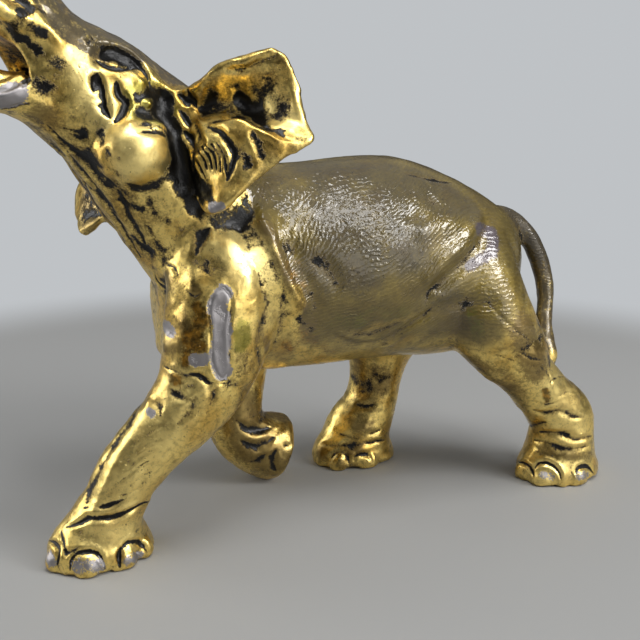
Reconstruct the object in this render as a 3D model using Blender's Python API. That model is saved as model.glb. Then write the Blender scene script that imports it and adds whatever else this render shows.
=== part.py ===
"""A cast brass elephant that walks with its head raised and its trunk up.

The body, legs, head, ears, tusks and tail are one casting. Forms are lofted through a few
stations, cast together by a voxel remesh, carved with strokes and cut flat under the feet.
Places and proportions of the free form are in units of 1/111 of the back's height, so that
one unit is one millimetre on the real piece. X runs to the tail, Y to the far side, Z up.
"""
import math

import bmesh
import bpy
import numpy as np
from mathutils import Matrix, Vector
from mathutils.bvhtree import BVHTree

# Driving sizes in metres
BACK_HEIGHT = 0.111
EAR_THICKNESS = 0.0034
TAIL_THICKNESS = 0.0068
TAIL_TUFT_THICKNESS = 0.0075
TUSK_THICKNESS = 0.0058
TUSK_LENGTH = 0.023
TRUNK_TIP_THICKNESS = 0.0100
NOSTRIL_DEPTH = 0.0012
SKIN_CREASE_DEPTH = 0.0011
NAIL_RISE = 0.0009

# Fineness of the casting and of its facets
VOXEL = 0.0011
SKIN_ROUNDING = (0.55, -0.5) * 8
LAST_ROUNDING = (0.3,)
FACETS = 9000
SOLE_FLATNESS = 0.0004
RING_SIDES = 28
STEPS_PER_STATION = 4

UNIT = BACK_HEIGHT / 111
NEAR = -1
FAR = 1

# The head is a form of its own, turned to the near side and tipped a little
HEAD_CENTRE = Vector((-55.0, 0.0, 125.0))
HEAD_TURN = math.radians(15)
HEAD_TIP = math.radians(8)

# Torso stations: place along X, height of the back, height of the belly, half width
TORSO = (
    (-55.8, 80, 54, 8),
    (-54.0, 87, 50.5, 14),
    (-50.0, 96, 48.5, 19.5),
    (-42, 106, 47, 23.5),
    (-26, 108.6, 45.5, 26.5),
    (-9, 109.2, 45, 28),
    (7, 110.6, 45.3, 29),
    (22, 110, 45, 29),
    (36, 105.6, 44, 28),
    (49, 99.4, 46, 24.6),
    (59.5, 93.2, 52, 16.6),
    (66.5, 87.2, 60, 8.4),
    (70, 79.8, 66, 3.8),
)

# Limb stations: place (x, y, z), half width along the body, half width across it
NEAR_FORELEG = (
    (-36, -15, 88, 17, 11),
    (-39, -18, 76, 17.5, 12.5),
    (-42.5, -19.5, 63, 16, 12.5),
    (-46.5, -20, 51, 13.8, 12),
    (-52.8, -20, 42, 11.4, 11),
    (-61.9, -19.6, 33.5, 9.8, 10),
    (-69.6, -19, 25, 9.3, 9.6),
    (-73.2, -18.4, 17.5, 8.9, 9.6),
    (-76.2, -18, 11.5, 10.6, 10.4),
    (-77.6, -17.8, 6.5, 12.6, 11),
)
FAR_FORELEG = (
    (-34, 15, 88, 16, 11),
    (-32, 18, 74, 16, 12),
    (-28, 18.5, 60, 13.5, 11.5),
    (-25.6, 18, 46, 10.6, 10.5),
    (-26, 17, 36, 9.2, 9.8),
    (-27.6, 16, 27.5, 9.2, 9.8),
    (-27.4, 16, 20.8, 9.6, 10),
    (-23.4, 16, 15.4, 10.6, 10.8),
    (-17.8, 16, 12.4, 11.6, 11.4),
    (-13.8, 16, 10.8, 12.0, 11.8),
    (-11.2, 16, 9.8, 10.6, 10.8),
)
NEAR_HINDLEG = (
    (41.5, -10, 84, 15, 13),
    (43, -15, 72, 15.5, 14),
    (47.5, -18, 60, 14.8, 14.2),
    (55.6, -19.5, 48, 12.8, 12.4),
    (63.1, -19.8, 38.5, 9.3, 9.8),
    (70.8, -19.4, 30, 9.6, 9.7),
    (78.6, -19, 21.5, 11.2, 10.2),
    (79.5, -18.8, 13.5, 11.8, 10.6),
    (79.2, -18.6, 7.0, 13.4, 11.2),
)
FAR_HINDLEG = (
    (38, 10, 82, 17, 13),
    (34.5, 15, 70, 18, 14.5),
    (31, 18, 58, 16.5, 14),
    (28.5, 19.5, 46, 14.6, 12.5),
    (27.4, 20.4, 36, 10.6, 10.4),
    (26.5, 20.6, 28, 9.0, 9.8),
    (24.4, 20.6, 20, 9.6, 10.2),
    (20.4, 20.6, 12.5, 12.0, 11),
    (19, 20.5, 7, 13, 11.2),
)

# Feet on the ground: place, half length, half width, way the toes point,
# angles of the nails round the rim, size of a nail
FEET = (
    ((-78.6, -17.6), 15.8, 12.6, 190, (-48, 6, 62, 106, 138), 5.2),
    ((79.0, -18.6), 16.2, 12.4, 190, (-62, -20, 28, 85), 5.4),
    ((18.0, 20.5), 16.0, 12.4, 182, (-46, 2, 48, 94), 5.2),
)
FOOT_HEIGHT = 12.5
# Outline of a foot from the ankle to below the ground: share of the height, spread
FOOT_OUTLINE = ((1.0, 0.66), (0.76, 0.78), (0.52, 0.92), (0.28, 1.0), (0.04, 1.0), (-0.2, 0.97))
FOOT_LEAN = 0.16
NAIL_MIDDLE = 2.6
NAIL_HALF_HEIGHT = 0.6
NAIL_SPREAD = 0.62
ARCH_SPREAD = 0.82
ARCH_FOOT = 1.0
ARCH_HALF_WIDTH = 1.25
ARCH_STEPS = 8

# Head stations in the head's own frame: forward, up, half depth, half width
SKULL = (
    (-34, -56, 24, 18),
    (-19.5, -37, 25.6, 21.5),
    (-7.6, -22, 23.8, 20.5),
    (3, -9.7, 21.6, 19),
    (11, -1.0, 19.0, 17),
    (15.8, 3.6, 18.0, 15.2),
    (21.4, 8.2, 16.3, 13.4),
    (26.4, 13.0, 14.2, 12.2),
    (30.5, 19.0, 11.6, 11.2),
)
TRUNK = (
    (24, 9.5, 13.5, 11.5),
    (29.4, 17.5, 11.8, 11.2),
    (33.6, 24.2, 10.4, 10.4),
    (38.4, 33, 9.2, 9.4),
    (42.6, 43.5, 8.1, 8.2),
    (45.0, 54.5, 7.1, 7.2),
    (45.2, 65, 6.3, 6.4),
    (42.6, 74.2, 5.7, 5.8),
    (37.2, 80.6, 5.2, 5.4),
)
TRUNK_TIP = (31.4, 83.0)
TRUNK_TIP_FLARE = 1.05
LIP_RUN = (-2.2, 0.2)
LIP_SPREAD = 0.74
NOSTRIL_PLACE = (-2.2, 2.0, 0.3)
NOSTRIL_RADIUS = 1.5
JAW = (
    (16, -7, 12, 13.5),
    (24, -2.5, 8.6, 11.6),
    (31, 1.0, 6.2, 10.2),
    (37.5, 2.9, 4.4, 8.6),
    (43.5, 3.6, 3.5, 6.8),
    (47.6, 5.0, 2.8, 4.8),
    (50.2, 6.6, 1.9, 3.0),
)
MOUTH = (
    (27.5, 6.6, 2.6, 4.0),
    (33, 8.6, 4.4, 6.2),
    (39, 11.2, 5.4, 8.0),
    (46, 13.6, 6.8, 10.0),
    (54, 17, 8.5, 12),
)
TONGUE = (
    (26, 3.6, 3.6, 5.0),
    (33, 5.6, 3.4, 5.2),
    (39, 6.9, 3.2, 5.0),
    (44, 8.2, 2.6, 4.2),
    (47, 9.4, 1.8, 2.8),
)
# Cheeks: side, forward, out, up, radius, half thickness
CHEEKS = ((1, 12.5, 12.6, -12.5, 10.5, 8.4), (-1, 10.5, 12.0, -10.5, 9.0, 8.0))
CHEEK_FLATNESS = 0.92
TUSK_ROOT = (33.5, 9.2, 19.0)
TUSK_TIP_WAY = (0.91, 0.14, 0.36)
TUSK_CURVE = 0.16
# Outline of a tusk: share of its length, share of its thickness
TUSK_OUTLINE = ((-0.2, 1.0), (0.0, 1.0), (0.25, 0.95), (0.5, 0.86), (0.75, 0.72), (0.92, 0.5), (1.0, 0.2))

# Ear ribs in the head's frame: forward, out, up, from the root to the rim
EAR = (
    ((-3.4, 15, 4.0), (-5.0, 25, 7.4), (-11.6, 31.5, 9.6), (-18.6, 35.5, 11.2), (-22.8, 37.5, 8.8)),
    ((-4.0, 14, 1.8), (-6.0, 23, 4.8), (-11.6, 28.5, 6.0), (-18.6, 33.5, 7.2), (-23.4, 38.3, 5.2)),
    ((-4.8, 13, -2.6), (-10.2, 20, -0.2), (-16.0, 24.5, 0.2), (-21.0, 30.5, 0.4), (-24.0, 38.8, -1.0)),
    ((-4.6, 13, -5.8), (-9.8, 20, -5.2), (-14.8, 24.5, -5.8), (-19.8, 30.5, -7.6), (-25.0, 40.0, -8.2)),
    ((-3.6, 15, -8.0), (-5.8, 29, -7.6), (-10.6, 34.5, -9.2), (-16.0, 37.5, -10.8), (-25.2, 41.0, -12.6)),
    ((-1.8, 15, -14.0), (-2.6, 26, -15.6), (-6.6, 32.0, -16.4), (-12.0, 36.0, -15.8), (-19.8, 40.0, -16.4)),
    ((-1.0, 15, -19.6), (-0.4, 21, -22.6), (-1.4, 27.0, -24.6), (-6.0, 32.5, -22.4), (-12.8, 37.5, -20.0)),
    ((-0.8, 16, -23.0), (0.6, 22, -27.0), (0.2, 27.5, -30.8), (-2.0, 31.5, -30.2), (-6.6, 34.5, -25.6)),
)
# Each ear turns about its root: side, swing to the front, tilt and pitch in degrees, drop
EAR_ROOT = (-3.0, 14.0, -8.0)
EAR_POSES = ((1, 0, 0, 0, 0), (-1, 45, -20, 18, 5.6))
EAR_SUBDIVISION = 5

# Places where forms grow into each other: place, radius
SOFT_JOINS = (
    ((-30, 2, 103), 15),
    ((-32, 13, 98), 12),
    ((-30, 22, 90), 11),
    ((-28, -22, 92), 9),
    ((-56, 14, 84), 8),
    ((-50, -20, 86), 8),
    ((34, 24, 66), 9),
    ((-24, 22, 56), 8),
)
SOFTEN_SHARE = 0.6
SOFTEN_ROUNDS = 34

# Tail stations: place, share of the tail's thickness
TAIL = (
    (61.5, 0, 91.0, 0.7),
    (67.8, 0, 88.0, 0.78),
    (73.9, -0.4, 81.8, 1.0),
    (78.6, -1.0, 73.2, 1.08),
    (80.6, -2.2, 65.6, 1.0),
    (80.2, -4.4, 58.4, 0.95),
    (77.9, -7.2, 51.2, 0.98),
    (77.4, -9.6, 45.2, 1.0),
    (78.4, -11.8, 38.4, 0.7),
)
TAIL_FLATNESS = 0.9
# The tuft hangs from the tail's last bend: its run, and its outline as shares of run and thickness
TUFT_RUN = (-0.2, -3.2, -9.0)
TUFT_OUTLINE = ((-0.2, 0.6), (0.15, 1.0), (0.5, 1.05), (0.8, 0.7), (1.0, 0.25))

# Strokes seen from the side: (x, z) points, half width, depth as a share of the crease
NEAR_FOLDS = (
    (((-1, 58), (14, 61.5), (26, 66), (42, 66.5)), 2.4, 1.0),
    (((20, 71), (30, 77), (38, 83), (43, 90)), 2.8, 1.1),
    (((-36, 93), (-33, 82), (-30.5, 73), (-31, 61)), 2.6, 1.3),
    (((-23, 88), (-19, 79), (-15, 70)), 2.4, 0.8),
    (((-57, 50), (-50, 54), (-42, 51), (-35, 46)), 2.0, 0.8),
    (((46, 46), (54, 52), (62, 54)), 2.2, 0.7),
)
FAR_FOLDS = (
    (((-2, 57), (10, 60), (20, 65), (32, 67)), 2.4, 1.0),
    (((14, 70), (24, 77), (33, 85)), 2.8, 1.0),
    (((-30, 93), (-26, 82), (-23, 72), (-24, 60)), 2.6, 1.2),
)
SHOULDER_RIDGE = (((-28.5, 96), (-25, 85), (-20, 73)), 3.4, -1.3)

# Face strokes in the head's frame: (forward, up) points, half width, depth share
FACE_LINES = (
    (((20.2, 10.6), (17.6, 13.2), (14.6, 14.0), (11.6, 12.2), (8.6, 8.6), (6.6, 5.0)), 1.5, 0.9),
    (((19.4, 9.6), (16.6, 8.6), (13.6, 9.0), (11.4, 10.2)), 1.3, 0.7),
    (((21.2, 7.2), (20.8, 3.6), (20.6, 0.2), (19.4, -3.0)), 1.3, 0.9),
    (((17.0, 5.0), (15.4, 2.0), (15.2, -1.4), (17.4, -4.6)), 1.3, 0.9),
    (((7.2, -0.6), (9.6, -4.6), (14.0, -6.0)), 1.8, 0.8),
    (((4.6, 2.0), (2.0, -6.0), (1.6, -12.6), (1.4, -19.0), (0.8, -25.0)), 3.0, 1.6),
    (((30.2, -9.6), (25.4, -17.6), (20.0, -27.0), (13.6, -38.6)), 1.6, 0.8),
    (((22.0, -13.6), (16.6, -24.0), (11.0, -35.4)), 1.5, 0.7),
    (((33.6, 2.4), (27.4, -3.6), (21.8, -9.6)), 1.4, 0.5),
)
EYE_PLACE = (15.0, 11.4)
EYE_RADIUS = 1.7
EYE_RISE = 1.2
EYE_SOCKET_RADIUS = 4.4
EYE_SOCKET_DEPTH = 1.3


def head_frame():
    """Forward, side (to the near side) and up, as the head is turned and tipped."""
    forward = Vector((-math.cos(HEAD_TURN), -math.sin(HEAD_TURN), 0))
    level_side = Vector((math.sin(HEAD_TURN), -math.cos(HEAD_TURN), 0))
    side = level_side * math.cos(HEAD_TIP) + Vector((0, 0, math.sin(HEAD_TIP)))
    return forward, side, forward.cross(side)


FORWARD, SIDE, UP = head_frame()


def on_head(ahead, out, above):
    """A place given in the head's frame, in units of the whole figure."""
    return HEAD_CENTRE + FORWARD * ahead + SIDE * out + UP * above


def curve_through(rows, steps):
    """Rows of numbers read from a Catmull-Rom curve through the given rows."""
    rows = np.array(rows, float)
    padded = np.vstack((2 * rows[0] - rows[1], rows, 2 * rows[-1] - rows[-2]))
    out = []
    for i in range(1, len(padded) - 2):
        a, b, c, d = padded[i - 1:i + 3]
        for t in np.arange(steps) / steps:
            out.append(0.5 * (2 * b + (c - a) * t + (2 * a - 5 * b + 4 * c - d) * t ** 2
                              + (3 * b - a - 3 * c + d) * t ** 3))
    out.append(rows[-1])
    return np.array(out)


def add_loft(mesh, centres, across, half_across, half_deep, facing=None):
    """A closed form through oval rings, square to the line of centres or to one direction."""
    centres = [Vector(c) for c in centres]
    last = len(centres) - 1
    rings = []
    for i, centre in enumerate(centres):
        along = facing or (centres[min(i + 1, last)] - centres[max(i - 1, 0)]).normalized()
        wide = (across - along * across.dot(along)).normalized()
        deep = along.cross(wide)
        frame = Matrix((wide * half_across[i], deep * half_deep[i], along)).transposed().to_4x4()
        made = bmesh.ops.create_circle(
            mesh, cap_ends=i in (0, last), segments=RING_SIDES, radius=1.0,
            matrix=Matrix.Translation(centre) @ frame)
        rings.append({e for v in made["verts"] for e in v.link_edges if len(e.link_faces) < 2})
    for ring, following in zip(rings, rings[1:]):
        bmesh.ops.bridge_loops(mesh, edges=list(ring | following))


def add_torso(mesh):
    rows = curve_through(TORSO, STEPS_PER_STATION)
    centres = [(x, 0, (top + low) / 2) for x, top, low, half in rows]
    half_high = (rows[:, 1] - rows[:, 2]) / 2
    add_loft(mesh, centres, Vector((0, 1, 0)), rows[:, 3], half_high, Vector((1, 0, 0)))


def add_limb(mesh, stations):
    rows = curve_through(stations, STEPS_PER_STATION)
    add_loft(mesh, rows[:, :3], Vector((0, 1, 0)), rows[:, 4], rows[:, 3])


def add_foot(mesh, place, half_long, half_wide, toes):
    """A low bell: narrow at the ankle, widest near the ground, running on below it."""
    shares, spread = np.array(FOOT_OUTLINE).T
    long_way = Vector((math.cos(math.radians(toes)), math.sin(math.radians(toes)), 0))
    centres = []
    for height in shares * FOOT_HEIGHT:
        centres.append(Vector((place[0], place[1], height)) - long_way * FOOT_LEAN * height)
    across = Vector((-long_way.y, long_way.x, 0))
    add_loft(mesh, centres, across, half_wide * spread, half_long * spread)


def add_head_form(mesh, stations):
    rows = curve_through(stations, STEPS_PER_STATION)
    centres = [on_head(ahead, 0, above) for ahead, above, deep, wide in rows]
    add_loft(mesh, centres, SIDE, rows[:, 3], rows[:, 2])


def add_trunk(mesh):
    """The trunk narrows to its own tip size and ends in a blunt, rounded lip."""
    tip_half = TRUNK_TIP_THICKNESS / UNIT / 2
    end = TRUNK_TIP + (tip_half, tip_half * TRUNK_TIP_FLARE)
    lip_half = tip_half * LIP_SPREAD
    lip = (TRUNK_TIP[0] + LIP_RUN[0], TRUNK_TIP[1] + LIP_RUN[1], lip_half, lip_half)
    add_head_form(mesh, TRUNK + (end, lip))


def add_cheeks(mesh):
    for side, ahead, out, above, radius, thick in CHEEKS:
        place = on_head(ahead, side * out, above)
        turned = Matrix((FORWARD, SIDE, UP)).transposed().to_4x4()
        shape = Matrix.Diagonal((1, thick / radius, CHEEK_FLATNESS)).to_4x4()
        bmesh.ops.create_icosphere(
            mesh, subdivisions=3, radius=radius,
            matrix=Matrix.Translation(place) @ turned @ shape)


def add_tusks(mesh):
    """Two short round tusks that leave the lip beside the trunk."""
    half = TUSK_THICKNESS / UNIT / 2
    length = TUSK_LENGTH / UNIT
    shares, taper = np.array(TUSK_OUTLINE).T
    for side in (1, -1):
        centres = []
        for share in shares:
            run = length * share
            ahead, out, above = (root + way * run for root, way in zip(TUSK_ROOT, TUSK_TIP_WAY))
            centres.append(on_head(ahead, side * out, above + TUSK_CURVE * length * share ** 2))
        add_loft(mesh, centres, SIDE, half * taper, half * taper)


def add_tail(mesh):
    rows = curve_through(TAIL, STEPS_PER_STATION)
    half = rows[:, 3] * TAIL_THICKNESS / UNIT / 2
    add_loft(mesh, rows[:, :3], Vector((0, 1, 0)), half * TAIL_FLATNESS, half)
    shares, spread = np.array(TUFT_OUTLINE).T
    centres = [Vector(TAIL[-2][:3]) + Vector(TUFT_RUN) * share for share in shares]
    half = spread * TAIL_TUFT_THICKNESS / UNIT / 2
    add_loft(mesh, centres, Vector((0, 1, 0)), half, half)


def ear_sheet():
    """One ear as an open sheet of faces, in the head's frame."""
    ribs = np.array([curve_through(rib, EAR_SUBDIVISION) for rib in EAR])
    return np.array([curve_through(ribs[:, i], EAR_SUBDIVISION) for i in range(ribs.shape[1])])


def make_object(name, mesh):
    """Writes a bmesh, in units, to a new object in metres."""
    bmesh.ops.scale(mesh, vec=(UNIT, UNIT, UNIT), verts=mesh.verts)
    data = bpy.data.meshes.new(name)
    mesh.to_mesh(data)
    mesh.free()
    made = bpy.data.objects.new(name, data)
    bpy.context.scene.collection.objects.link(made)
    return made


def settle(item):
    """Puts the object's modifiers into its mesh."""
    graph = bpy.context.evaluated_depsgraph_get()
    data = bpy.data.meshes.new_from_object(item.evaluated_get(graph))
    item.modifiers.clear()
    item.data = data


def make_ear(side, swing, tilt, pitch, drop):
    """A sheet thickened to the ear's wall; it reaches into the head at its root."""
    mesh = bmesh.new()
    grid = ear_sheet()
    columns, rows = grid.shape[:2]
    bmesh.ops.create_grid(mesh, x_segments=columns - 1, y_segments=rows - 1, size=1.0)
    pose = (Matrix.Rotation(math.radians(-pitch), 3, "Y")
            @ Matrix.Rotation(math.radians(tilt), 3, "X")
            @ Matrix.Rotation(math.radians(-swing), 3, "Z"))
    for vert in mesh.verts:
        i = round((vert.co.x + 1) / 2 * (columns - 1))
        j = round((vert.co.y + 1) / 2 * (rows - 1))
        ahead, out, above = pose @ Vector(grid[i, j] - EAR_ROOT) + Vector(EAR_ROOT)
        vert.co = on_head(ahead, side * out, above - drop)
    ear = make_object("ear", mesh)
    wall = ear.modifiers.new("wall", "SOLIDIFY")
    wall.thickness = EAR_THICKNESS
    wall.offset = 0.0
    wall.use_even_offset = False
    settle(ear)
    return ear


def make_rough_form():
    """All the round forms, overlapping where they grow into each other."""
    mesh = bmesh.new()
    add_torso(mesh)
    for stations in (NEAR_FORELEG, FAR_FORELEG, NEAR_HINDLEG, FAR_HINDLEG):
        add_limb(mesh, stations)
    for place, half_long, half_wide, toes, nails, nail_size in FEET:
        add_foot(mesh, place, half_long, half_wide, toes)
    for stations in (SKULL, JAW):
        add_head_form(mesh, stations)
    add_trunk(mesh)
    add_cheeks(mesh)
    add_tusks(mesh)
    add_tail(mesh)
    bmesh.ops.recalc_face_normals(mesh, faces=mesh.faces)
    return make_object("elephant", mesh)


def join(target, pieces):
    """Adds the meshes of the pieces to the target's and removes the pieces."""
    mesh = bmesh.new()
    mesh.from_mesh(target.data)
    for piece in pieces:
        mesh.from_mesh(piece.data)
        bpy.data.objects.remove(piece)
    mesh.to_mesh(target.data)
    mesh.free()


def cast(item):
    """Melts the overlapping forms into one skin."""
    melt = item.modifiers.new("cast", "REMESH")
    melt.mode = "VOXEL"
    melt.voxel_size = VOXEL
    settle(item)


def hollow_mouth(item):
    """Cuts the mouth between the trunk and the lower jaw."""
    mesh = bmesh.new()
    add_head_form(mesh, MOUTH)
    bmesh.ops.recalc_face_normals(mesh, faces=mesh.faces)
    cutter = make_object("mouth", mesh)
    cut = item.modifiers.new("mouth", "BOOLEAN")
    cut.operation = "DIFFERENCE"
    cut.object = cutter
    settle(item)
    bpy.data.objects.remove(cutter)


def make_tongue():
    mesh = bmesh.new()
    add_head_form(mesh, TONGUE)
    bmesh.ops.recalc_face_normals(mesh, faces=mesh.faces)
    return make_object("tongue", mesh)


def points_of(item):
    flat = np.empty(len(item.data.vertices) * 3)
    item.data.vertices.foreach_get("co", flat)
    return flat.reshape(-1, 3) / UNIT


def move_points(item, points):
    item.data.vertices.foreach_set("co", (points * UNIT).ravel())
    item.data.update()


def normals_of(item):
    flat = np.empty(len(item.data.vertices) * 3)
    item.data.vertices.foreach_get("normal", flat)
    return flat.reshape(-1, 3)


def even_out(item, shares):
    """Moves each point towards the middle of its neighbours, once for each share."""
    edges = np.empty(len(item.data.edges) * 2, int)
    item.data.edges.foreach_get("vertices", edges)
    a, b = edges.reshape(-1, 2).T
    points = points_of(item)
    count = np.bincount(a, minlength=len(points)) + np.bincount(b, minlength=len(points))
    for share in shares:
        middle = np.empty_like(points)
        for axis in range(3):
            middle[:, axis] = (np.bincount(a, points[b, axis], len(points))
                               + np.bincount(b, points[a, axis], len(points))) / count
        points += (middle - points) * share
    move_points(item, points)


def soften(item, place, radius):
    """Rounds the skin where two forms grow into each other."""
    gap = np.linalg.norm(points_of(item) - place, axis=1)
    share = SOFTEN_SHARE * np.exp(-(gap / radius) ** 2)[:, None]
    even_out(item, [share] * SOFTEN_ROUNDS)


def skin_of(item):
    mesh = bmesh.new()
    mesh.from_mesh(item.data)
    tree = BVHTree.FromBMesh(mesh)
    mesh.free()
    return tree


def drop_on_skin(tree, place, way):
    """Where a ray from outside meets the skin, in units."""
    start = (Vector(place) - Vector(way) * 90) * UNIT
    hit = tree.ray_cast(start, Vector(way))[0]
    return hit / UNIT if hit else Vector(place)


def distance_to_line(points, line):
    """Distance of each point to a broken line."""
    best = np.full(len(points), np.inf)
    for a, b in zip(line, line[1:]):
        run = b - a
        t = np.clip((points - a) @ run / max(run @ run, 1e-9), 0, 1)
        gap = np.linalg.norm(points - a - t[:, None] * run, axis=1)
        best = np.minimum(best, gap)
    return best


def stroke(item, line, half_width, depth):
    """Presses a rounded groove along the line; a negative depth raises a ridge."""
    points = points_of(item)
    line = np.array([tuple(p) for p in line])
    gap = distance_to_line(points, line)
    push = depth * np.exp(-(gap / half_width) ** 2)
    move_points(item, points - normals_of(item) * push[:, None])


def side_line(tree, flat_line, side):
    """A line drawn on the side view, dropped on the near or the far flank."""
    rows = curve_through(flat_line, STEPS_PER_STATION)
    return [drop_on_skin(tree, (x, 0, z), (0, -side, 0)) for x, z in rows]


def face_line(tree, flat_line, side):
    """A line drawn on the head's side view, dropped on one cheek."""
    rows = curve_through(flat_line, STEPS_PER_STATION)
    return [drop_on_skin(tree, on_head(ahead, 0, above), -SIDE * side) for ahead, above in rows]


def carve_body(item, tree):
    crease = SKIN_CREASE_DEPTH / UNIT
    for folds, side in ((NEAR_FOLDS, NEAR), (FAR_FOLDS, FAR)):
        for flat_line, half_width, share in folds:
            stroke(item, side_line(tree, flat_line, side), half_width, crease * share)
    flat_line, half_width, share = SHOULDER_RIDGE
    for side in (NEAR, FAR):
        stroke(item, side_line(tree, flat_line, side), half_width, crease * share)


def carve_face(item, tree):
    crease = SKIN_CREASE_DEPTH / UNIT
    for side in (1, -1):
        for flat_line, half_width, share in FACE_LINES:
            stroke(item, face_line(tree, flat_line, side), half_width, crease * share)
        ahead, above = EYE_PLACE
        middle = drop_on_skin(tree, on_head(ahead, 0, above), -SIDE * side)
        stroke(item, (middle, middle + FORWARD), EYE_SOCKET_RADIUS, crease * EYE_SOCKET_DEPTH)
        stroke(item, (middle, middle + FORWARD), EYE_RADIUS, -crease * EYE_RISE)


def pierce_nostrils(item):
    """Presses two shallow nostrils into the blunt end of the trunk."""
    for side in (1, -1):
        middle = on_head(TRUNK_TIP[0] + NOSTRIL_PLACE[0], side * NOSTRIL_PLACE[1],
                         TRUNK_TIP[1] + NOSTRIL_PLACE[2])
        stroke(item, (middle, middle + FORWARD * 0.1), NOSTRIL_RADIUS, NOSTRIL_DEPTH / UNIT)


def foot_rim(place, half_long, half_wide, toes, angle):
    """Middle of a nail on the rim of a foot, and the way that it faces."""
    turn = math.radians(toes)
    local = math.radians(angle)
    along = half_long * math.cos(local)
    across = half_wide * math.sin(local)
    x = place[0] + along * math.cos(turn) - across * math.sin(turn)
    y = place[1] + along * math.sin(turn) + across * math.cos(turn)
    out = Vector((x - place[0], y - place[1], 0)).normalized()
    return Vector((x, y, 0)), out


def carve_feet(item, tree):
    """Nails stand proud of the foot, each under an arched groove; folds ring the ankle."""
    crease = SKIN_CREASE_DEPTH / UNIT
    rise = NAIL_RISE / UNIT
    for place, half_long, half_wide, toes, nails, size in FEET:
        for angle in nails:
            middle, out = foot_rim(place, half_long, half_wide, toes, angle)
            sideways = Vector((-out.y, out.x, 0))
            swell = drop_on_skin(tree, middle + Vector((0, 0, NAIL_MIDDLE)), -out)
            stroke(item, (swell, swell + Vector((0, 0, 2 * NAIL_HALF_HEIGHT))), size * NAIL_SPREAD, -rise)
            arch = []
            for step in range(ARCH_STEPS + 1):
                turn = math.pi * step / ARCH_STEPS
                shift = sideways * size * math.cos(turn) * ARCH_SPREAD
                up = Vector((0, 0, ARCH_FOOT + size * math.sin(turn)))
                arch.append(drop_on_skin(tree, middle + shift + up, -out))
            stroke(item, arch, ARCH_HALF_WIDTH, crease)


def cut_soles(item):
    """Cuts the feet flat on the ground."""
    mesh = bmesh.new()
    mesh.from_mesh(item.data)
    everything = list(mesh.verts) + list(mesh.edges) + list(mesh.faces)
    bmesh.ops.bisect_plane(mesh, geom=everything, dist=1e-7, plane_co=(0, 0, 0),
                           plane_no=(0, 0, 1), clear_inner=True)
    rim = [e for e in mesh.edges if e.is_boundary]
    bmesh.ops.holes_fill(mesh, edges=rim, sides=0)
    bmesh.ops.triangulate(mesh, faces=mesh.faces)
    mesh.to_mesh(item.data)
    mesh.free()


def make_facets(item):
    """Fewer, larger faces where the skin is smooth, and soles that stay flat."""
    fewer = item.modifiers.new("facets", "DECIMATE")
    fewer.ratio = min(1.0, FACETS / len(item.data.polygons))
    settle(item)
    points = points_of(item)
    low = points[:, 2] < SOLE_FLATNESS / UNIT
    points[low, 2] = 0
    move_points(item, points)


def keep_largest_body(item):
    """Drops any crumb or inner skin that the casting left."""
    mesh = bmesh.new()
    mesh.from_mesh(item.data)
    left = set(mesh.verts)
    bodies = []
    while left:
        body = {left.pop()}
        front = set(body)
        while front:
            front = {e.other_vert(v) for v in front for e in v.link_edges} - body
            body |= front
        left -= body
        bodies.append(body)
    largest = max(bodies, key=len)
    spare = [v for body in bodies if body is not largest for v in body]
    bmesh.ops.delete(mesh, geom=spare, context="VERTS")
    mesh.to_mesh(item.data)
    mesh.free()


def centre_on_ground(item):
    """Puts the middle of the figure's box over the origin."""
    points = points_of(item)
    low = points.min(axis=0)
    high = points.max(axis=0)
    move_points(item, points - ((low[0] + high[0]) / 2, (low[1] + high[1]) / 2, low[2]))


def brass():
    """Polished brass under a thin, yellowed lacquer."""
    made = bpy.data.materials.new("brass")
    made.use_nodes = True
    shader = made.node_tree.nodes["Principled BSDF"]
    shader.inputs["Base Color"].default_value = (0.48, 0.34, 0.11, 1.0)
    shader.inputs["Metallic"].default_value = 1.0
    shader.inputs["Roughness"].default_value = 0.32
    return made


def make_elephant():
    item = make_rough_form()
    join(item, [make_ear(*pose) for pose in EAR_POSES])
    cast(item)
    hollow_mouth(item)
    join(item, [make_tongue()])
    cast(item)
    keep_largest_body(item)
    even_out(item, SKIN_ROUNDING)
    for place, radius in SOFT_JOINS:
        soften(item, place, radius)
    tree = skin_of(item)
    carve_body(item, tree)
    carve_face(item, tree)
    pierce_nostrils(item)
    carve_feet(item, tree)
    even_out(item, LAST_ROUNDING)
    cut_soles(item)
    make_facets(item)
    keep_largest_body(item)
    centre_on_ground(item)
    item.data.materials.append(brass())
    item.data.shade_smooth()
    return item


for old in list(bpy.data.objects):
    bpy.data.objects.remove(old)

make_elephant()
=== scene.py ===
"""The looks of a cast brass elephant that walks with its head and trunk raised.

Lengths are in millimetres on the sculptor's own axes, as the piece was modelled: X runs to the
tail, Y to the far side, Z up. Marks that the photograph shows are drawn at their pixels in its
640 by 640 frame and dropped on the skin, and their widths and depths are real sizes.
"""
import math

import bmesh
import bpy
import numpy as np
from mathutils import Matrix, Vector
from mathutils.bvhtree import BVHTree


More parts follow.
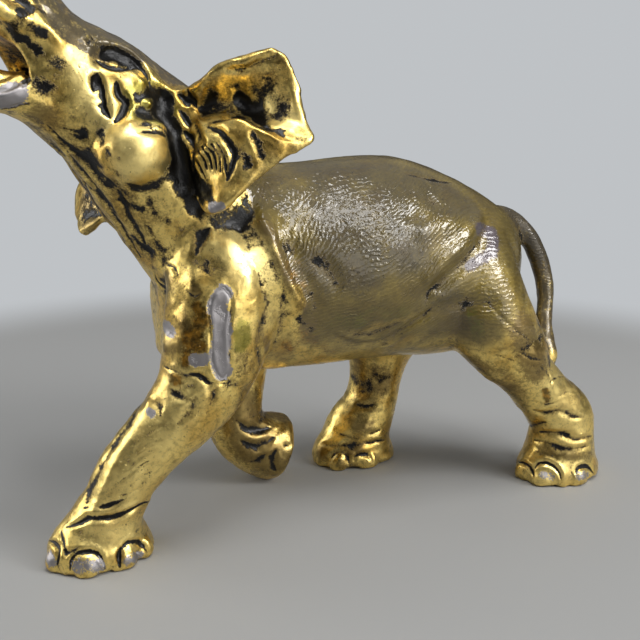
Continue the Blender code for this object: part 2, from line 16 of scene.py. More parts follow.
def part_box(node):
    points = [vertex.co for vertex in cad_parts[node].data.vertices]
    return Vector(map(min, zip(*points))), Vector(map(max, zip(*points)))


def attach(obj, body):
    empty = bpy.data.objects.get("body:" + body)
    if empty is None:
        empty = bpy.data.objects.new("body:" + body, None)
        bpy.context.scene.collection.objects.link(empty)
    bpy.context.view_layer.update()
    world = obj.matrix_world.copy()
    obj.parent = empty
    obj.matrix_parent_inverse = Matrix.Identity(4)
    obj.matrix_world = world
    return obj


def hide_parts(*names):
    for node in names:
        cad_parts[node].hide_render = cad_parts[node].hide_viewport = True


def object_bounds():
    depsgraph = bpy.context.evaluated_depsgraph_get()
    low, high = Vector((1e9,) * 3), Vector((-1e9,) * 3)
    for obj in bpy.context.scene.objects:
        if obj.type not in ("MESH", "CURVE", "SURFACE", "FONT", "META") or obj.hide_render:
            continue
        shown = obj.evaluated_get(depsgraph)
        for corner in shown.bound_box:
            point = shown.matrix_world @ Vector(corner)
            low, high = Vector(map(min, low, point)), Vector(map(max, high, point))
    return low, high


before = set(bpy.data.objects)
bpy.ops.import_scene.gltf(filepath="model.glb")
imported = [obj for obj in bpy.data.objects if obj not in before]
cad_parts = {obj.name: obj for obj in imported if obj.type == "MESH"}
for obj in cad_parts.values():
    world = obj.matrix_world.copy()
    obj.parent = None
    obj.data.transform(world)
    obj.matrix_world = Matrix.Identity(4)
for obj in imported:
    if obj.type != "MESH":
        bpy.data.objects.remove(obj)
cad_low, cad_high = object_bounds()

# The viewer
# A phone held about 30 cm from the near flank, a little above the back, looks down on the
# walking figure and cuts off its trunk.
MM = 0.001
FRAME_PIXELS = 640
VIEWER_PLACE = Vector((-108.0, -259.5, 130.0))
VIEWER_TURN = math.radians(22)
VIEWER_DIP = math.radians(14.3)
FOCAL_PIXELS = 900
SENSOR_WIDTH = 36.0

low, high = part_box("elephant")
MODEL_ORIGIN = Vector((low.x + 0.1110, low.y + 0.0364, low.z))
looking = Vector((math.sin(VIEWER_TURN) * math.cos(VIEWER_DIP),
                  math.cos(VIEWER_TURN) * math.cos(VIEWER_DIP), -math.sin(VIEWER_DIP)))
viewer_data = bpy.data.cameras.new("viewer")
viewer_data.sensor_width = SENSOR_WIDTH
viewer_data.lens = FOCAL_PIXELS / FRAME_PIXELS * SENSOR_WIDTH
viewer_data.clip_start = 0.01
viewer = bpy.data.objects.new("viewer", viewer_data)
viewer.location = MODEL_ORIGIN + VIEWER_PLACE * MM
viewer.rotation_euler = looking.to_track_quat("-Z", "Y").to_euler()
bpy.context.scene.collection.objects.link(viewer)
bpy.context.scene.camera = viewer
to_right = looking.cross(Vector((0, 0, 1))).normalized()
to_top = to_right.cross(looking)

# The casting
# One hollow brass casting. Its fine skin starts from the solid, rounded and melted again into
# small even faces that the chaser's tools can mark.
SKIN_GRAIN = 0.00048
SKIN_ROUNDING = (0.5, -0.45) * 6
SKIN_TRIANGLES = 196000

solid_copy = bmesh.new()
solid_copy.from_mesh(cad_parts["elephant"].data)
bmesh.ops.remove_doubles(solid_copy, verts=solid_copy.verts, dist=1e-6)
casting_data = bpy.data.meshes.new("elephant_casting")
solid_copy.to_mesh(casting_data)
solid_copy.free()
casting = bpy.data.objects.new("elephant_casting", casting_data)
bpy.context.scene.collection.objects.link(casting)


def settle(item):
    """Puts the object's modifiers into its mesh."""
    graph = bpy.context.evaluated_depsgraph_get()
    made = bpy.data.meshes.new_from_object(item.evaluated_get(graph))
    item.modifiers.clear()
    item.data = made


rounding = casting.modifiers.new("rounding", "SUBSURF")
rounding.levels = 2
rounding.render_levels = 2
melting = casting.modifiers.new("melting", "REMESH")
melting.mode = "VOXEL"
melting.voxel_size = SKIN_GRAIN
settle(casting)


def rows_of(items, name, width, kind=float):
    """One value of every item of a mesh, as rows of numbers."""
    flat = np.empty(len(items) * width, kind)
    items.foreach_get(name, flat)
    return flat.reshape(-1, width)


def points_of(mesh):
    """The mesh's points in millimetres on the sculptor's axes."""
    return (rows_of(mesh.vertices, "co", 3) - np.array(MODEL_ORIGIN)) / MM


def put_points(mesh, points):
    flat = points * MM + np.array(MODEL_ORIGIN)
    mesh.vertices.foreach_set("co", flat.astype(np.float32).ravel())
    mesh.update()


def edges_of(mesh):
    return rows_of(mesh.edges, "vertices", 2, np.int32).T


def normals_of(mesh):
    return rows_of(mesh.vertices, "normal", 3)


def averaged(values, edges):
    """Each point's value replaced by the mean of its neighbours' values."""
    a, b = edges
    values = values.reshape(len(values), -1)
    total = np.empty_like(values)
    for column in range(values.shape[1]):
        total[:, column] = (np.bincount(a, values[b, column], len(values))
                            + np.bincount(b, values[a, column], len(values)))
    count = np.bincount(a, minlength=len(values)) + np.bincount(b, minlength=len(values))
    return total / count[:, None]


skin = points_of(casting.data)
skin_edges = edges_of(casting.data)
for share in SKIN_ROUNDING:
    skin += (averaged(skin, skin_edges) - skin) * share
put_points(casting.data, skin)
outward = normals_of(casting.data)
for _ in range(6):
    outward = averaged(outward, skin_edges)
outward /= np.linalg.norm(outward, axis=1)[:, None]

probe = bmesh.new()
probe.from_mesh(casting.data)
skin_tree = BVHTree.FromBMesh(probe)
probe.free()

# The head
# Cast with the body and chased: a hooded eye under a long brow crease, two deep gashes behind
# it, a full cheek, folds down the throat and a dark hollow in front of the ear. The crown was
# left in its dark grey patina.
HEAD_CENTRE = np.array((-55.0, 0.0, 125.0))
HEAD_TURN = math.radians(15)
HEAD_TIP = math.radians(8)
EYE = ((113, 59), (117, 59.5))
FACE_RUBBED_AND_HIGHLIGHT = ((80, 64), (88, 80), (96, 100), (110, 126))
BROW_CREASE = ((103, 53), (111, 49), (121, 52), (130, 56), (138, 62.5), (145, 73), (150, 85))
BROW_HOLLOW = ((108, 51), (118, 52.5), (128, 58), (135, 62))
UNDER_EYE = ((96, 61), (104, 66), (113, 70), (124, 70), (133, 67))
UPPER_LID = ((104, 57), (108, 54), (113, 54), (118, 57), (123, 61))
LOWER_LID = ((105, 61), (110, 64), (116, 64), (122, 62))
BROW_RIDGE = ((104, 42), (118, 46), (132, 52), (142, 60), (150, 72), (160, 82), (168, 88))
CHEEKBONE = ((94, 70), (104, 72), (118, 76), (132, 75), (142, 82))
FOREHEAD_WRINKLES = (
    ((91, 35), (92.5, 44)), ((95.5, 35), (97, 47)), ((100.5, 36), (101.5, 48)), ((88, 38), (89, 45)),
)
GASHES = (
    (((98, 73), (95.5, 82), (94, 92)), 1.25, 1.1),
    (((98, 74), (102, 88), (103, 98), (106, 105)), 1.0, 1.0),
    (((98.5, 106), (103, 106), (106, 112), (109.5, 118)), 0.9, 0.8),
    (((116, 81), (119, 94), (126, 103), (122, 113), (115.5, 122)), 1.15, 1.2),
)
TEMPLE_HOLLOW = ((139, 98), (150, 93), (160, 97), (163, 108), (152, 113), (142, 109))
TEMPLE_KNOB = ((149, 103),)
TEMPLE_BLACK = ((166, 93), (160, 107), (166, 119), (174, 128))
CHEEK_BULGE = ((140, 148), (152, 148), (158, 156), (150, 166), (138, 164))
CHEEK_TOP = ((130, 126), (142, 122.5), (155, 123), (168, 127))
CHEEK_FOLD = ((136, 134), (146, 133), (156, 133.5), (165, 136))
CHEEK_LEDGE = ((148, 125), (158, 128), (167, 135))
CHEEK_RIM = ((103, 136), (104, 150), (110, 165), (120, 177), (136, 187), (154, 186), (168, 174))
CHEEK_LINES = (
    ((140, 139), (150, 137.5), (160, 140)), ((139, 142.5), (150, 141), (161, 144)),
    ((138.5, 146), (150, 144.6), (160.5, 148)), ((139, 149.5), (150, 148.4), (158, 151.5)),
)
CHEEK_SPECKS = ((135, 171), (109, 99), (130, 141), (146, 119))
EAR_GROOVE = ((167, 98), (168, 112), (173, 124), (176, 140), (179, 156), (183, 172), (188, 190), (197, 207))
EAR_BASE_BLACK = ((181, 165), (187, 182), (195, 198), (204, 208))
THROAT_FOLDS = (
    ((48, 126), (62, 141), (80, 158), (100, 173), (116, 186)),
    ((60, 143), (74, 160), (90, 180), (106, 200), (118, 216)),
    ((84, 181), (100, 197), (114, 215), (128, 237), (140, 257)),
    ((118, 190), (126, 208), (136, 228), (144, 244)),
    ((64, 128), (76, 132), (83, 133), (80, 137), (70, 133)),
    ((70, 150), (84, 156), (98, 166), (112, 170)),
)
THROAT_SMEARS = (
    ((68, 146), (84, 152), (96, 160)), ((84, 166), (98, 176), (110, 186)),
    ((106, 150), (112, 156), (119, 158)), ((120, 200), (132, 206), (144, 210)), ((96, 190), (112, 206)),
    ((132, 236), (142, 246), (150, 252)),
)
MOTTLE = ((52, 66), (48, 76), (40, 86), (34, 92))
THROAT_SHADE = ((56, 134), (84, 164), (112, 198), (136, 240))
BROWN_PATCH = ((36, 118), (44, 112), (50, 116))
CROWN_EDGE = ((31, 0), (49, 28), (63, 43), (78, 52), (90, 60), (102, 65), (116, 65), (130, 64), (142, 66),
              (152, 69), (160, 77), (168, 87))
TEMPLE_PULL = ((165, 71), (164, 74), 7.0)
CROWN_BACK = (-26, -18)
CROWN_FOOT = (120, 128)
CROWN_SIDES = (16, 20)
CROWN_FADE = (-0.8, 2.4)
CHEEK_RIPPLE = ((72, 66), (82, 65.5), (90, 68))
CHEEK_RIPPLE_STEP = (0.8, 3.3)
CHEEK_RIPPLES = tuple(tuple((right + i * CHEEK_RIPPLE_STEP[0], down + i * CHEEK_RIPPLE_STEP[1])
                            for right, down in CHEEK_RIPPLE) for i in range(11))


def curve_through(rows, steps=5):
    """Rows of numbers read from a Catmull-Rom curve through the given rows."""
    rows = np.array(rows, float)
    if len(rows) == 1:
        return rows
    padded = np.vstack((2 * rows[0] - rows[1], rows, 2 * rows[-1] - rows[-2]))
    out = []
    for i in range(1, len(padded) - 2):
        a, b, c, d = padded[i - 1:i + 3]
        for t in np.arange(steps) / steps:
            out.append(0.5 * (2 * b + (c - a) * t + (2 * a - 5 * b + 4 * c - d) * t ** 2
                              + (3 * b - a - 3 * c + d) * t ** 3))
    out.append(rows[-1])
    return np.array(out)


def drawn(pixels):
    """A smooth line through pixels of the photograph, dropped on the skin that it shows there."""
    places = []
    for right, down in curve_through(pixels):
        way = (looking * FOCAL_PIXELS + to_right * (right - FRAME_PIXELS / 2)
               - to_top * (down - FRAME_PIXELS / 2)).normalized()
        hit = skin_tree.ray_cast(viewer.location, way)[0]
        if hit is not None:
            places.append((hit - MODEL_ORIGIN) / MM)
    return np.array(places).reshape(-1, 3)


def dropped(places):
    """The points of the skin nearest to these places."""
    out = [skin_tree.find_nearest(MODEL_ORIGIN + Vector(p) * MM)[0] for p in places]
    return np.array([(p - MODEL_ORIGIN) / MM for p in out]).reshape(-1, 3)


def near_line(line, reach, around=False):
    """The skin's points within reach of a line, their distance from it, and their share of the
    way along it. Unless the line is inside a form and marks it all around, skin that faces the
    other way, such as the back of an ear, is left out."""
    box = np.all((skin > line.min(0) - reach) & (skin < line.max(0) + reach), axis=1)
    chosen = np.flatnonzero(box)
    spots = skin[chosen]
    gap = np.linalg.norm(spots - line[0], axis=1)
    along = np.zeros(len(spots))
    for i, (a, b) in enumerate(zip(line, line[1:])):
        run = b - a
        share = np.clip((spots - a) @ run / max(run @ run, 1e-9), 0, 1)
        new = np.linalg.norm(spots - a - share[:, None] * run, axis=1)
        nearer = new < gap
        gap[nearer] = new[nearer]
        along[nearer] = (i + share[nearer]) / (len(line) - 1)
    if around or len(spots) == 0:
        kept = gap < reach
        return chosen[kept], gap[kept], along[kept]
    facing = outward[chosen[gap < gap.min() + 0.6]].mean(0)
    kept = (gap < reach) & (outward[chosen] @ facing > -0.25)
    return chosen[kept], gap[kept], along[kept]


def press(line, half_width, depth, lip=0.0, ends=0.0):
    """Presses a groove with raised lips along the line; a negative depth raises a ridge. With
    ends at 1 it narrows to a point at both ends, as a graver leaves it."""
    if len(line) == 0:
        return
    chosen, gap, along = near_line(line, half_width * 4)
    leaf = 1 - ends * (1 - np.sqrt(np.clip(np.sin(math.pi * (0.03 + 0.94 * along)), 0, 1)))
    width = half_width * leaf
    push = depth * leaf * np.exp(-(gap / width) ** 2)
    push -= lip * depth * leaf * np.exp(-((gap - 2.0 * width) / width) ** 2)
    skin[chosen] -= outward[chosen] * push[:, None]


MARK_NAMES = ("dark", "film", "bare", "rubbed", "amber", "green", "lilac", "umber", "steel", "smoke",
            "ripple")
colour_marks = {name: np.zeros(len(skin)) for name in MARK_NAMES}


def lay_mark(name, line, radius, amount=1.0, ends=0.0, around=False):
    """Lays a soft-edged colour mark along the line: a finish of the metal, a painted shade or a painted
    highlight.
    """
    if len(line) == 0:
        return
    chosen, gap, along = near_line(line, radius * 1.9, around)
    leaf = 1 - ends * (1 - np.sqrt(np.clip(np.sin(math.pi * (0.03 + 0.94 * along)), 0, 1)))
    layer = amount * np.exp(-(gap / (radius * leaf)) ** 4)
    colour_marks[name][chosen] = np.maximum(colour_marks[name][chosen], layer)


def cut(line, half_width, depth, lip=0.25, dark=0.9, ends=1.0):
    """A chased groove that has kept its dark patina."""
    press(line, half_width, depth, lip, ends)
    if dark:
        lay_mark("dark", line, half_width * 0.85, dark, ends)


head_ahead = np.array((-math.cos(HEAD_TURN), -math.sin(HEAD_TURN), 0))
head_side = np.array((math.sin(HEAD_TURN) * math.cos(HEAD_TIP),
                      -math.cos(HEAD_TURN) * math.cos(HEAD_TIP), math.sin(HEAD_TIP)))
head_up = np.cross(head_ahead, head_side)


def near_side(pixels):
    return (drawn(pixels),)


def both_faces(pixels):
    """A line on the near side of the head, and its twin on the far side."""
    line = drawn(pixels)
    twin = line - 2 * ((line - HEAD_CENTRE) @ head_side)[:, None] * head_side
    return line, dropped(twin)


def work(side, rows, *marks):
    """Works each row of pixels on the given side of the piece. A mark is "press" or "cut" with its
    half width, depth, lip and the rest, or the name of a colour mark with its radius, amount and ends."""
    for pixels in rows:
        for line in side(pixels):
            for kind, *sizes in marks:
                if kind == "press":
                    press(line, *sizes)
                elif kind == "cut":
                    cut(line, *sizes)
                else:
                    lay_mark(kind, line, *sizes)


# Paler brass on the cheek's bulge and the face: rubbed metal, with a painted highlight laid on it.
work(both_faces, (CHEEK_BULGE,), ("press", 5.5, -0.7), ("rubbed", 7.5))
work(both_faces, (CHEEK_RIM,), ("press", 2.2, 0.5), ("dark", 2.0, 0.4))
work(both_faces, (FACE_RUBBED_AND_HIGHLIGHT,), ("rubbed", 4.5))
work(both_faces, (CHEEKBONE,), ("press", 2.0, -0.7))
work(both_faces, (BROW_RIDGE,), ("press", 2.0, -0.6))
work(both_faces, (BROW_HOLLOW,), ("press", 2.0, 0.8), ("dark", 2.4, 0.95))
work(both_faces, (BROW_CREASE, UNDER_EYE), ("cut", 0.85, 0.8, 0.25))
# The eye is laid dark: its own patina, and a painted shadow cast by the brow ridge.
work(both_faces, (EYE,), ("press", 2.4, 0.8), ("press", 0.9, -0.7), ("dark", 3.0, 1.0))
work(both_faces, (UPPER_LID, LOWER_LID), ("press", 0.5, -0.2, 0.0, 1.0), ("dark", 0.9, 0.7))
work(both_faces, FOREHEAD_WRINKLES, ("press", 0.8, 0.5, 0.5, 1.0))
for pixels, half_width, depth in GASHES:
    work(both_faces, (pixels,), ("cut", half_width, depth, 0.1, 1.0), ("dark", half_width, 1.0, 1.0))
work(both_faces, (TEMPLE_HOLLOW,), ("press", 2.4, 1.0), ("dark", 3.0, 0.5), ("green", 4.6, 1.0))
work(both_faces, (TEMPLE_KNOB,), ("press", 1.3, -1.0))
work(both_faces, (TEMPLE_BLACK,), ("press", 1.8, 1.2), ("dark", 2.2, 1.0))
work(both_faces, (CHEEK_TOP,), ("press", 1.1, -0.7))
work(both_faces, (CHEEK_FOLD,), ("cut", 0.9, 0.6, 0.3, 0.45))
work(both_faces, (CHEEK_LEDGE,), ("dark", 2.2, 0.75))
work(both_faces, CHEEK_LINES, ("press", 0.32, 0.10, 0.6, 1.0))
work(both_faces, CHEEK_RIPPLES, ("press", 0.38, 0.14, 0.6, 1.0))
for right, down in CHEEK_SPECKS:
    work(both_faces, (((right, down - 1.5), (right, down + 1.5)),), ("dark", 0.6, 1.0))
work(both_faces, (EAR_GROOVE,), ("press", 2.6, 1.3), ("dark", 2.8, 1.0))
work(both_faces, (EAR_BASE_BLACK,), ("dark", 4.6, 1.0))
work(both_faces, THROAT_FOLDS, ("cut", 1.1, 0.5, 0.4, 0.30))
work(both_faces, THROAT_SMEARS, ("press", 1.0, 0.25), ("dark", 2.4, 0.58, 1.0))
work(near_side, (MOTTLE,), ("dark", 3.6, 0.52))
work(near_side, (BROWN_PATCH,), ("umber", 3.0, 0.8))
work(both_faces, (THROAT_SHADE,), ("umber", 9.0, 0.55), ("dark", 9.0, 0.16))


def pull(start, end, radius):
    """Moves the skin that the photograph shows round one pixel towards another pixel."""
    for spot in drawn((start,)):
        pixel = (MODEL_ORIGIN + Vector(spot) * MM - viewer.location).dot(looking) / FOCAL_PIXELS / MM
        shift = np.array((end[0] - start[0]) * to_right - (end[1] - start[1]) * to_top) * pixel
        skin[:] += shift * np.exp(-(np.linalg.norm(skin - spot, axis=1) / radius) ** 2)[:, None]


def smooth_step(values, start, end):
    share = np.clip((values - start) / (end - start), 0, 1)
    return share * share * (3 - 2 * share)


pull(*TEMPLE_PULL)

# The crown's dark grey lies above the brow and runs down the neck as far as the ears
crown_edge = drawn(CROWN_EDGE)
crown_side = (skin - HEAD_CENTRE) @ head_side
crown_rise = (skin - HEAD_CENTRE) @ head_up
crown_run = (skin - HEAD_CENTRE) @ head_ahead
edge_run = (crown_edge - HEAD_CENTRE) @ head_ahead
edge_rise = (crown_edge - HEAD_CENTRE) @ head_up
order = np.argsort(edge_run)
line_rise = np.interp(crown_run, edge_run[order], edge_rise[order])
in_head = smooth_step(crown_run, *CROWN_BACK) * smooth_step(skin[:, 2], *CROWN_FOOT)
in_head *= 1 - smooth_step(np.abs(crown_side), *CROWN_SIDES)
over_edge = smooth_step(crown_rise - line_rise, *CROWN_FADE)
colour_marks["steel"] = np.maximum(colour_marks["steel"], in_head * over_edge)

# The trunk and the mouth
# The trunk is flung up over the open mouth. Its front kept the grey patina, its side is brassy
# with black flecks, and the lower lip is rubbed down to bare grey metal.
TRUNK_RIDGE = ((28, 0), (36, 12), (43, 22), (52, 33), (60, 42))
TRUNK_FLECKS = (
    ((39, 31), (44, 32)), ((27, 4), (31, 8)), ((20, 12), (24, 14)), ((8, 22), (12, 26)),
    ((14, 34), (16, 38)),
)
TRUNK_HOLLOWS = (((24, 40), (30, 46), (36, 52)), ((20, 22), (30, 26)))
LIP_CORNER = ((22, 68), (28, 72), (26, 80), (22, 88))
LIP_GOLD_EDGE = ((0, 90), (10, 87.5), (20, 81))
LIP_BARE = ((0, 99), (9, 97), (17, 92))
LIP_UNDER = ((0, 109), (12, 108), (26, 104), (38, 103))
MOUTH_DARK = ((2, 40), (8, 46), (12, 56))
TRUNK_RING_PITCH = 3.1
TRUNK_RING_DEPTH = 0.242
TRUNK_RING_SLANT = 0.35
TRUNK_RING_WANDER = 1.6
TRUNK_RINGS_RISE = (158, 176)
TRUNK_RINGS_AHEAD = (62, 68)
TRUNK_GREY = 0.9
TRUNK_GREY_RISE = (150, 160)
TRUNK_GREY_FACING = (-0.1, 0.4)

work(near_side, (TRUNK_RIDGE,), ("press", 1.3, -0.6))
work(near_side, TRUNK_FLECKS, ("dark", 1.7, 0.95))
work(near_side, TRUNK_HOLLOWS, ("press", 2.0, 0.5), ("dark", 2.0, 0.45))
work(both_faces, (LIP_CORNER,), ("cut", 0.9, 0.6, 0.5, 0.6))
work(near_side, (LIP_GOLD_EDGE,), ("press", 0.8, 0.5, 0.5))
work(near_side, (LIP_BARE,), ("bare", 3.6, 1.0))
work(near_side, (LIP_UNDER,), ("cut", 0.6, 0.35, 0.3, 0.5))
work(near_side, (MOUTH_DARK,), ("amber", 5.0, 0.9))


def hammered(places, wave_length, seed, count=14):
    """A smooth random relief of the given wave length, about -1 to 1."""
    dice = np.random.default_rng(seed)
    ways = dice.normal(size=(count, 3))
    ways *= 2 * math.pi / wave_length / np.linalg.norm(ways, axis=1)[:, None]
    ways *= dice.uniform(0.7, 1.3, count)[:, None]
    return np.cos(places @ ways.T + dice.uniform(0, 2 * math.pi, count)).sum(1) / math.sqrt(count / 2)


trunk_share = smooth_step(skin[:, 2], *TRUNK_RINGS_RISE) * smooth_step(-skin[:, 0], *TRUNK_RINGS_AHEAD)
ring_phase = (skin[:, 2] - TRUNK_RING_SLANT * skin[:, 0]) * 2 * math.pi / TRUNK_RING_PITCH
ring_phase += TRUNK_RING_WANDER * hammered(skin, 16.0, 5)
ring_wave = 1 - np.abs(np.sin(ring_phase / 2)) ** 0.7
skin -= outward * (trunk_share * TRUNK_RING_DEPTH * (ring_wave - 0.4))[:, None]
trunk_front = TRUNK_GREY * smooth_step(skin[:, 2], *TRUNK_GREY_RISE)
trunk_front *= smooth_step(outward[:, 0], *TRUNK_GREY_FACING)
colour_marks["steel"] = np.maximum(colour_marks["steel"], trunk_front)

# The ears
# Two thin leaves spread sideways. Each is split by a stiff ridge: the upper half cups forward
# round a dark valley, the lower half hangs in a point, and combed ribs run out of its root.
EAR_TOP_RIM = ((232, 62), (245, 62), (262, 54), (278, 49), (285, 53))
EAR_TOP_INNER = ((228, 70), (245, 69), (262, 60), (276, 56))
EAR_VALLEY = ((214, 122), (228, 117), (240, 115), (250, 119), (262, 125), (281, 129))
EAR_VALLEY_DEEP = ((240, 100), (248, 108), (256, 116), (266, 123))
EAR_VALLEY_SIDE = ((236, 88), (243, 99), (247, 112))
EAR_FACET = ((268, 100), (276, 112), (284, 118))
EAR_OUTER_RIM = ((292, 70), (299, 90), (304, 108), (312, 135))
EAR_RIDGE = ((212, 124), (226, 121), (240, 122), (256, 128), (270, 136), (282, 144), (294, 149))
EAR_RIB = ((246, 131), (249, 142), (252, 150), (257, 160))
EAR_DARKS = (
    ((254, 136), (258, 146), (262, 156)), ((282, 134), (292, 138), (300, 142)),
    ((238, 136), (242, 150), (246, 164)), ((208, 84), (212, 96)),
)
EAR_BROWNS = (
    ((206, 92), (226, 78), (250, 68), (276, 60)), ((226, 100), (246, 88), (270, 78)),
    ((248, 176), (270, 156), (292, 142)),
)
EAR_LOW_RIM = ((300, 146), (288, 152), (272, 165), (252, 181), (236, 195), (222, 208))
EAR_FRONT_RIM = ((190, 150), (191.5, 160), (194, 178), (201, 194), (212, 209))
EAR_TIP = ((214, 207), (220, 208))
EAR_COMB = (
    ((198, 150), (204, 158), (207, 170)), ((202, 146), (209, 156), (212, 170)),
    ((206, 144), (214, 155), (217, 170)), ((211, 143), (219, 155), (221, 172)),
    ((196, 158), (200, 168), (205, 178)), ((216, 142), (224, 156), (226, 176)),
)
EAR_GROOVE_DARK = ((208, 127), (216, 130), (224, 136), (231, 146), (234, 156), (231, 168), (227, 180))
EAR_ROOT_RIDGE = ((193, 108), (199, 119), (204, 130), (210, 142), (206, 151), (198, 158))
EAR_ROOT_FOLDS = (
    ((176, 92), (184, 98), (190, 108)), ((186, 88), (192, 98), (196, 110)),
    ((178, 108), (186, 118), (190, 130)), ((182, 128), (190, 138), (194, 148)),
)
EAR_AMBER = (((198, 178), (201, 186)),)
FAR_EAR_BROWN = ((88, 194), (86, 208), (90, 222))
EAR_PULLS = (
    ((197, 79), (201, 83), 5.0), ((284, 53), (286, 50), 4.0), ((304, 131), (310, 136), 4.5),
    ((80, 227), (81, 232), 4.0),
)

for start, end, radius in EAR_PULLS:
    pull(start, end, radius)
work(both_faces, (EAR_TOP_RIM,), ("press", 1.1, -0.5))
work(both_faces, (EAR_TOP_INNER,), ("press", 1.1, 0.5))
# Painted shadow: the dark laid in the ear's valley, here and on the next line, is the shade above the lower
# half's ridge, where it overlaps the upper half.
work(both_faces, (EAR_VALLEY,), ("press", 2.2, 0.9), ("dark", 1.6, 0.6))
work(both_faces, (EAR_VALLEY_DEEP,), ("press", 1.8, 0.9), ("dark", 2.0, 0.8))
work(both_faces, (EAR_VALLEY_SIDE,), ("press", 1.6, 0.4))
# The ear's raised facet is laid paler: rubbed brass, with a painted highlight.
work(both_faces, (EAR_FACET,), ("press", 2.4, -0.5), ("rubbed", 5.0))
work(both_faces, (EAR_OUTER_RIM,), ("press", 0.9, -0.45))
work(both_faces, (EAR_RIDGE,), ("press", 1.1, -0.8))
work(both_faces, (EAR_RIB,), ("press", 1.2, -0.3))
work(both_faces, EAR_DARKS, ("press", 1.4, 0.4), ("dark", 2.4, 0.3))
work(both_faces, EAR_BROWNS, ("umber", 6.0, 0.45))
work(both_faces, (EAR_LOW_RIM,), ("press", 0.9, -0.5))
work(both_faces, (EAR_FRONT_RIM,), ("press", 0.9, -0.5))
work(both_faces, EAR_COMB, ("cut", 0.55, 0.5, 0.7, 0.8))
work(both_faces, (EAR_GROOVE_DARK,), ("cut", 1.3, 0.9, 0.3, 0.95))
work(both_faces, (EAR_ROOT_RIDGE,), ("press", 1.2, -0.8))
work(both_faces, EAR_ROOT_FOLDS, ("cut", 1.0, 0.8, 0.4, 0.8))
work(both_faces, (EAR_TIP,), ("bare", 1.9, 1.0))
work(both_faces, EAR_AMBER, ("amber", 1.8, 1.0))
work(near_side, (FAR_EAR_BROWN,), ("umber", 5.0, 0.9), ("dark", 3.4, 0.45))

# The shoulder and the chest
# The shoulder stands out brightly between the dark neck and the brown flank: rubbed, with a painted highlight
# laid on its swell. The breast has cast lumps, and the gilding is gone in a long grey stripe and two spots.
SHOULDER_SWELL = ((234, 236), (246, 250), (254, 262))
SHOULDER_CREASE = ((209, 229), (203, 236), (199, 243), (196, 254))
LUMPS = (
    ((160, 268), (171, 280), 2.8), ((193, 280), (195, 290), 2.3), ((186, 322), (186, 332), 2.4),
    ((166, 347), (178, 347), 2.4),
)
LUMP_HEIGHT_CHEST = 0.45
LUMP_RIMS = (
    ((166, 264), (174, 268), (178, 276)), ((154, 272), (158, 282), (168, 290)),
    ((186, 290), (194, 296), (202, 292)),
)
BARE_STRIPE = ((224, 294), (217, 306), (222, 322), (222, 340), (219, 356), (224, 372))
BARE_STRIPE_RIM = (
    (224, 288), (231, 298), (231, 316), (229, 332), (230, 352), (230, 370), (222, 380), (213, 366),
    (211, 344), (210, 326), (209, 306), (214, 294), (224, 288),
)
BARE_SPOTS = (((164, 326), (170, 332), 2.2), ((194, 361), (203, 360), 2.2))
BROWN_DABS = (
    ((186, 327), (186, 328), 2.4), ((168, 347), (177, 346), 2.7), ((168, 276), (170, 280), 2.2),
    ((195, 288), (196, 294), 2.0), ((266, 340), (267, 350), 1.9),
)
AMBER_DABS = (
    ((196, 306), (203, 314), 1.6), ((200, 322), (196, 334), 2.2), ((190, 340), (200, 348), 2.4),
    ((186, 352), (186, 362), 1.6), ((208, 316), (208, 324), 1.2),
)
GREEN_DABS = (((243, 326), (242, 344), 2.6), ((238, 334), (246, 340), 1.8))
SWIRL_RINGS = (((250, 276), (256, 284), (256, 296), (250, 302), (245, 294), (246, 282), (250, 276)),
               ((251, 270), (260, 282), (260, 298), (251, 307), (242, 296), (242, 280), (251, 270)))
LEG_CREASE = ((268, 304), (264, 316), (260, 332), (258, 348), (260, 364))
SHOULDER_BACK_RIDGE = ((262, 222), (270, 236), (277, 252), (284, 272), (294, 292), (303, 305))
SHOULDER_BACK_GROOVE = ((280, 246), (288, 262), (296, 280), (304, 298))
NECK_BLACKS = (
    ((226, 214), (240, 211), (256, 216)), ((212, 210), (224, 220), (236, 226)), ((206, 232), (202, 240)),
)
CHEST_SMEARS = (
    ((124, 196), (136, 218), (146, 244), (154, 268)), ((150, 200), (156, 212), (168, 222)),
    ((150, 232), (158, 246)), ((194, 258), (198, 268), (206, 272)), ((208, 262), (218, 268), (226, 266)),
    ((300, 320), (312, 330)), ((252, 352), (246, 364), (240, 374)),
)
BREAST_FILM = ((270, 316), (271, 338), (280, 356))
CHEST_BROWN = ((172, 296), (178, 330), (182, 362))
LEG_TOP_SHADE = ((228, 386), (242, 381), (254, 370), (260, 352))
LEG_TOP_LINE = ((160, 364), (172, 370), (184, 375), (199, 376), (210, 383), (225, 383))

# The shoulder's swell is laid paler: rubbed brass, with a painted highlight where the light falls on it.
work(near_side, (SHOULDER_SWELL,), ("press", 5.5, -0.7), ("rubbed", 9.0))
for start, end, size in LUMPS:
    press(drawn((start, end)), size, -LUMP_HEIGHT_CHEST, 0.3)
work(near_side, LUMP_RIMS, ("cut", 0.5, 0.35, 0.3, 0.4))
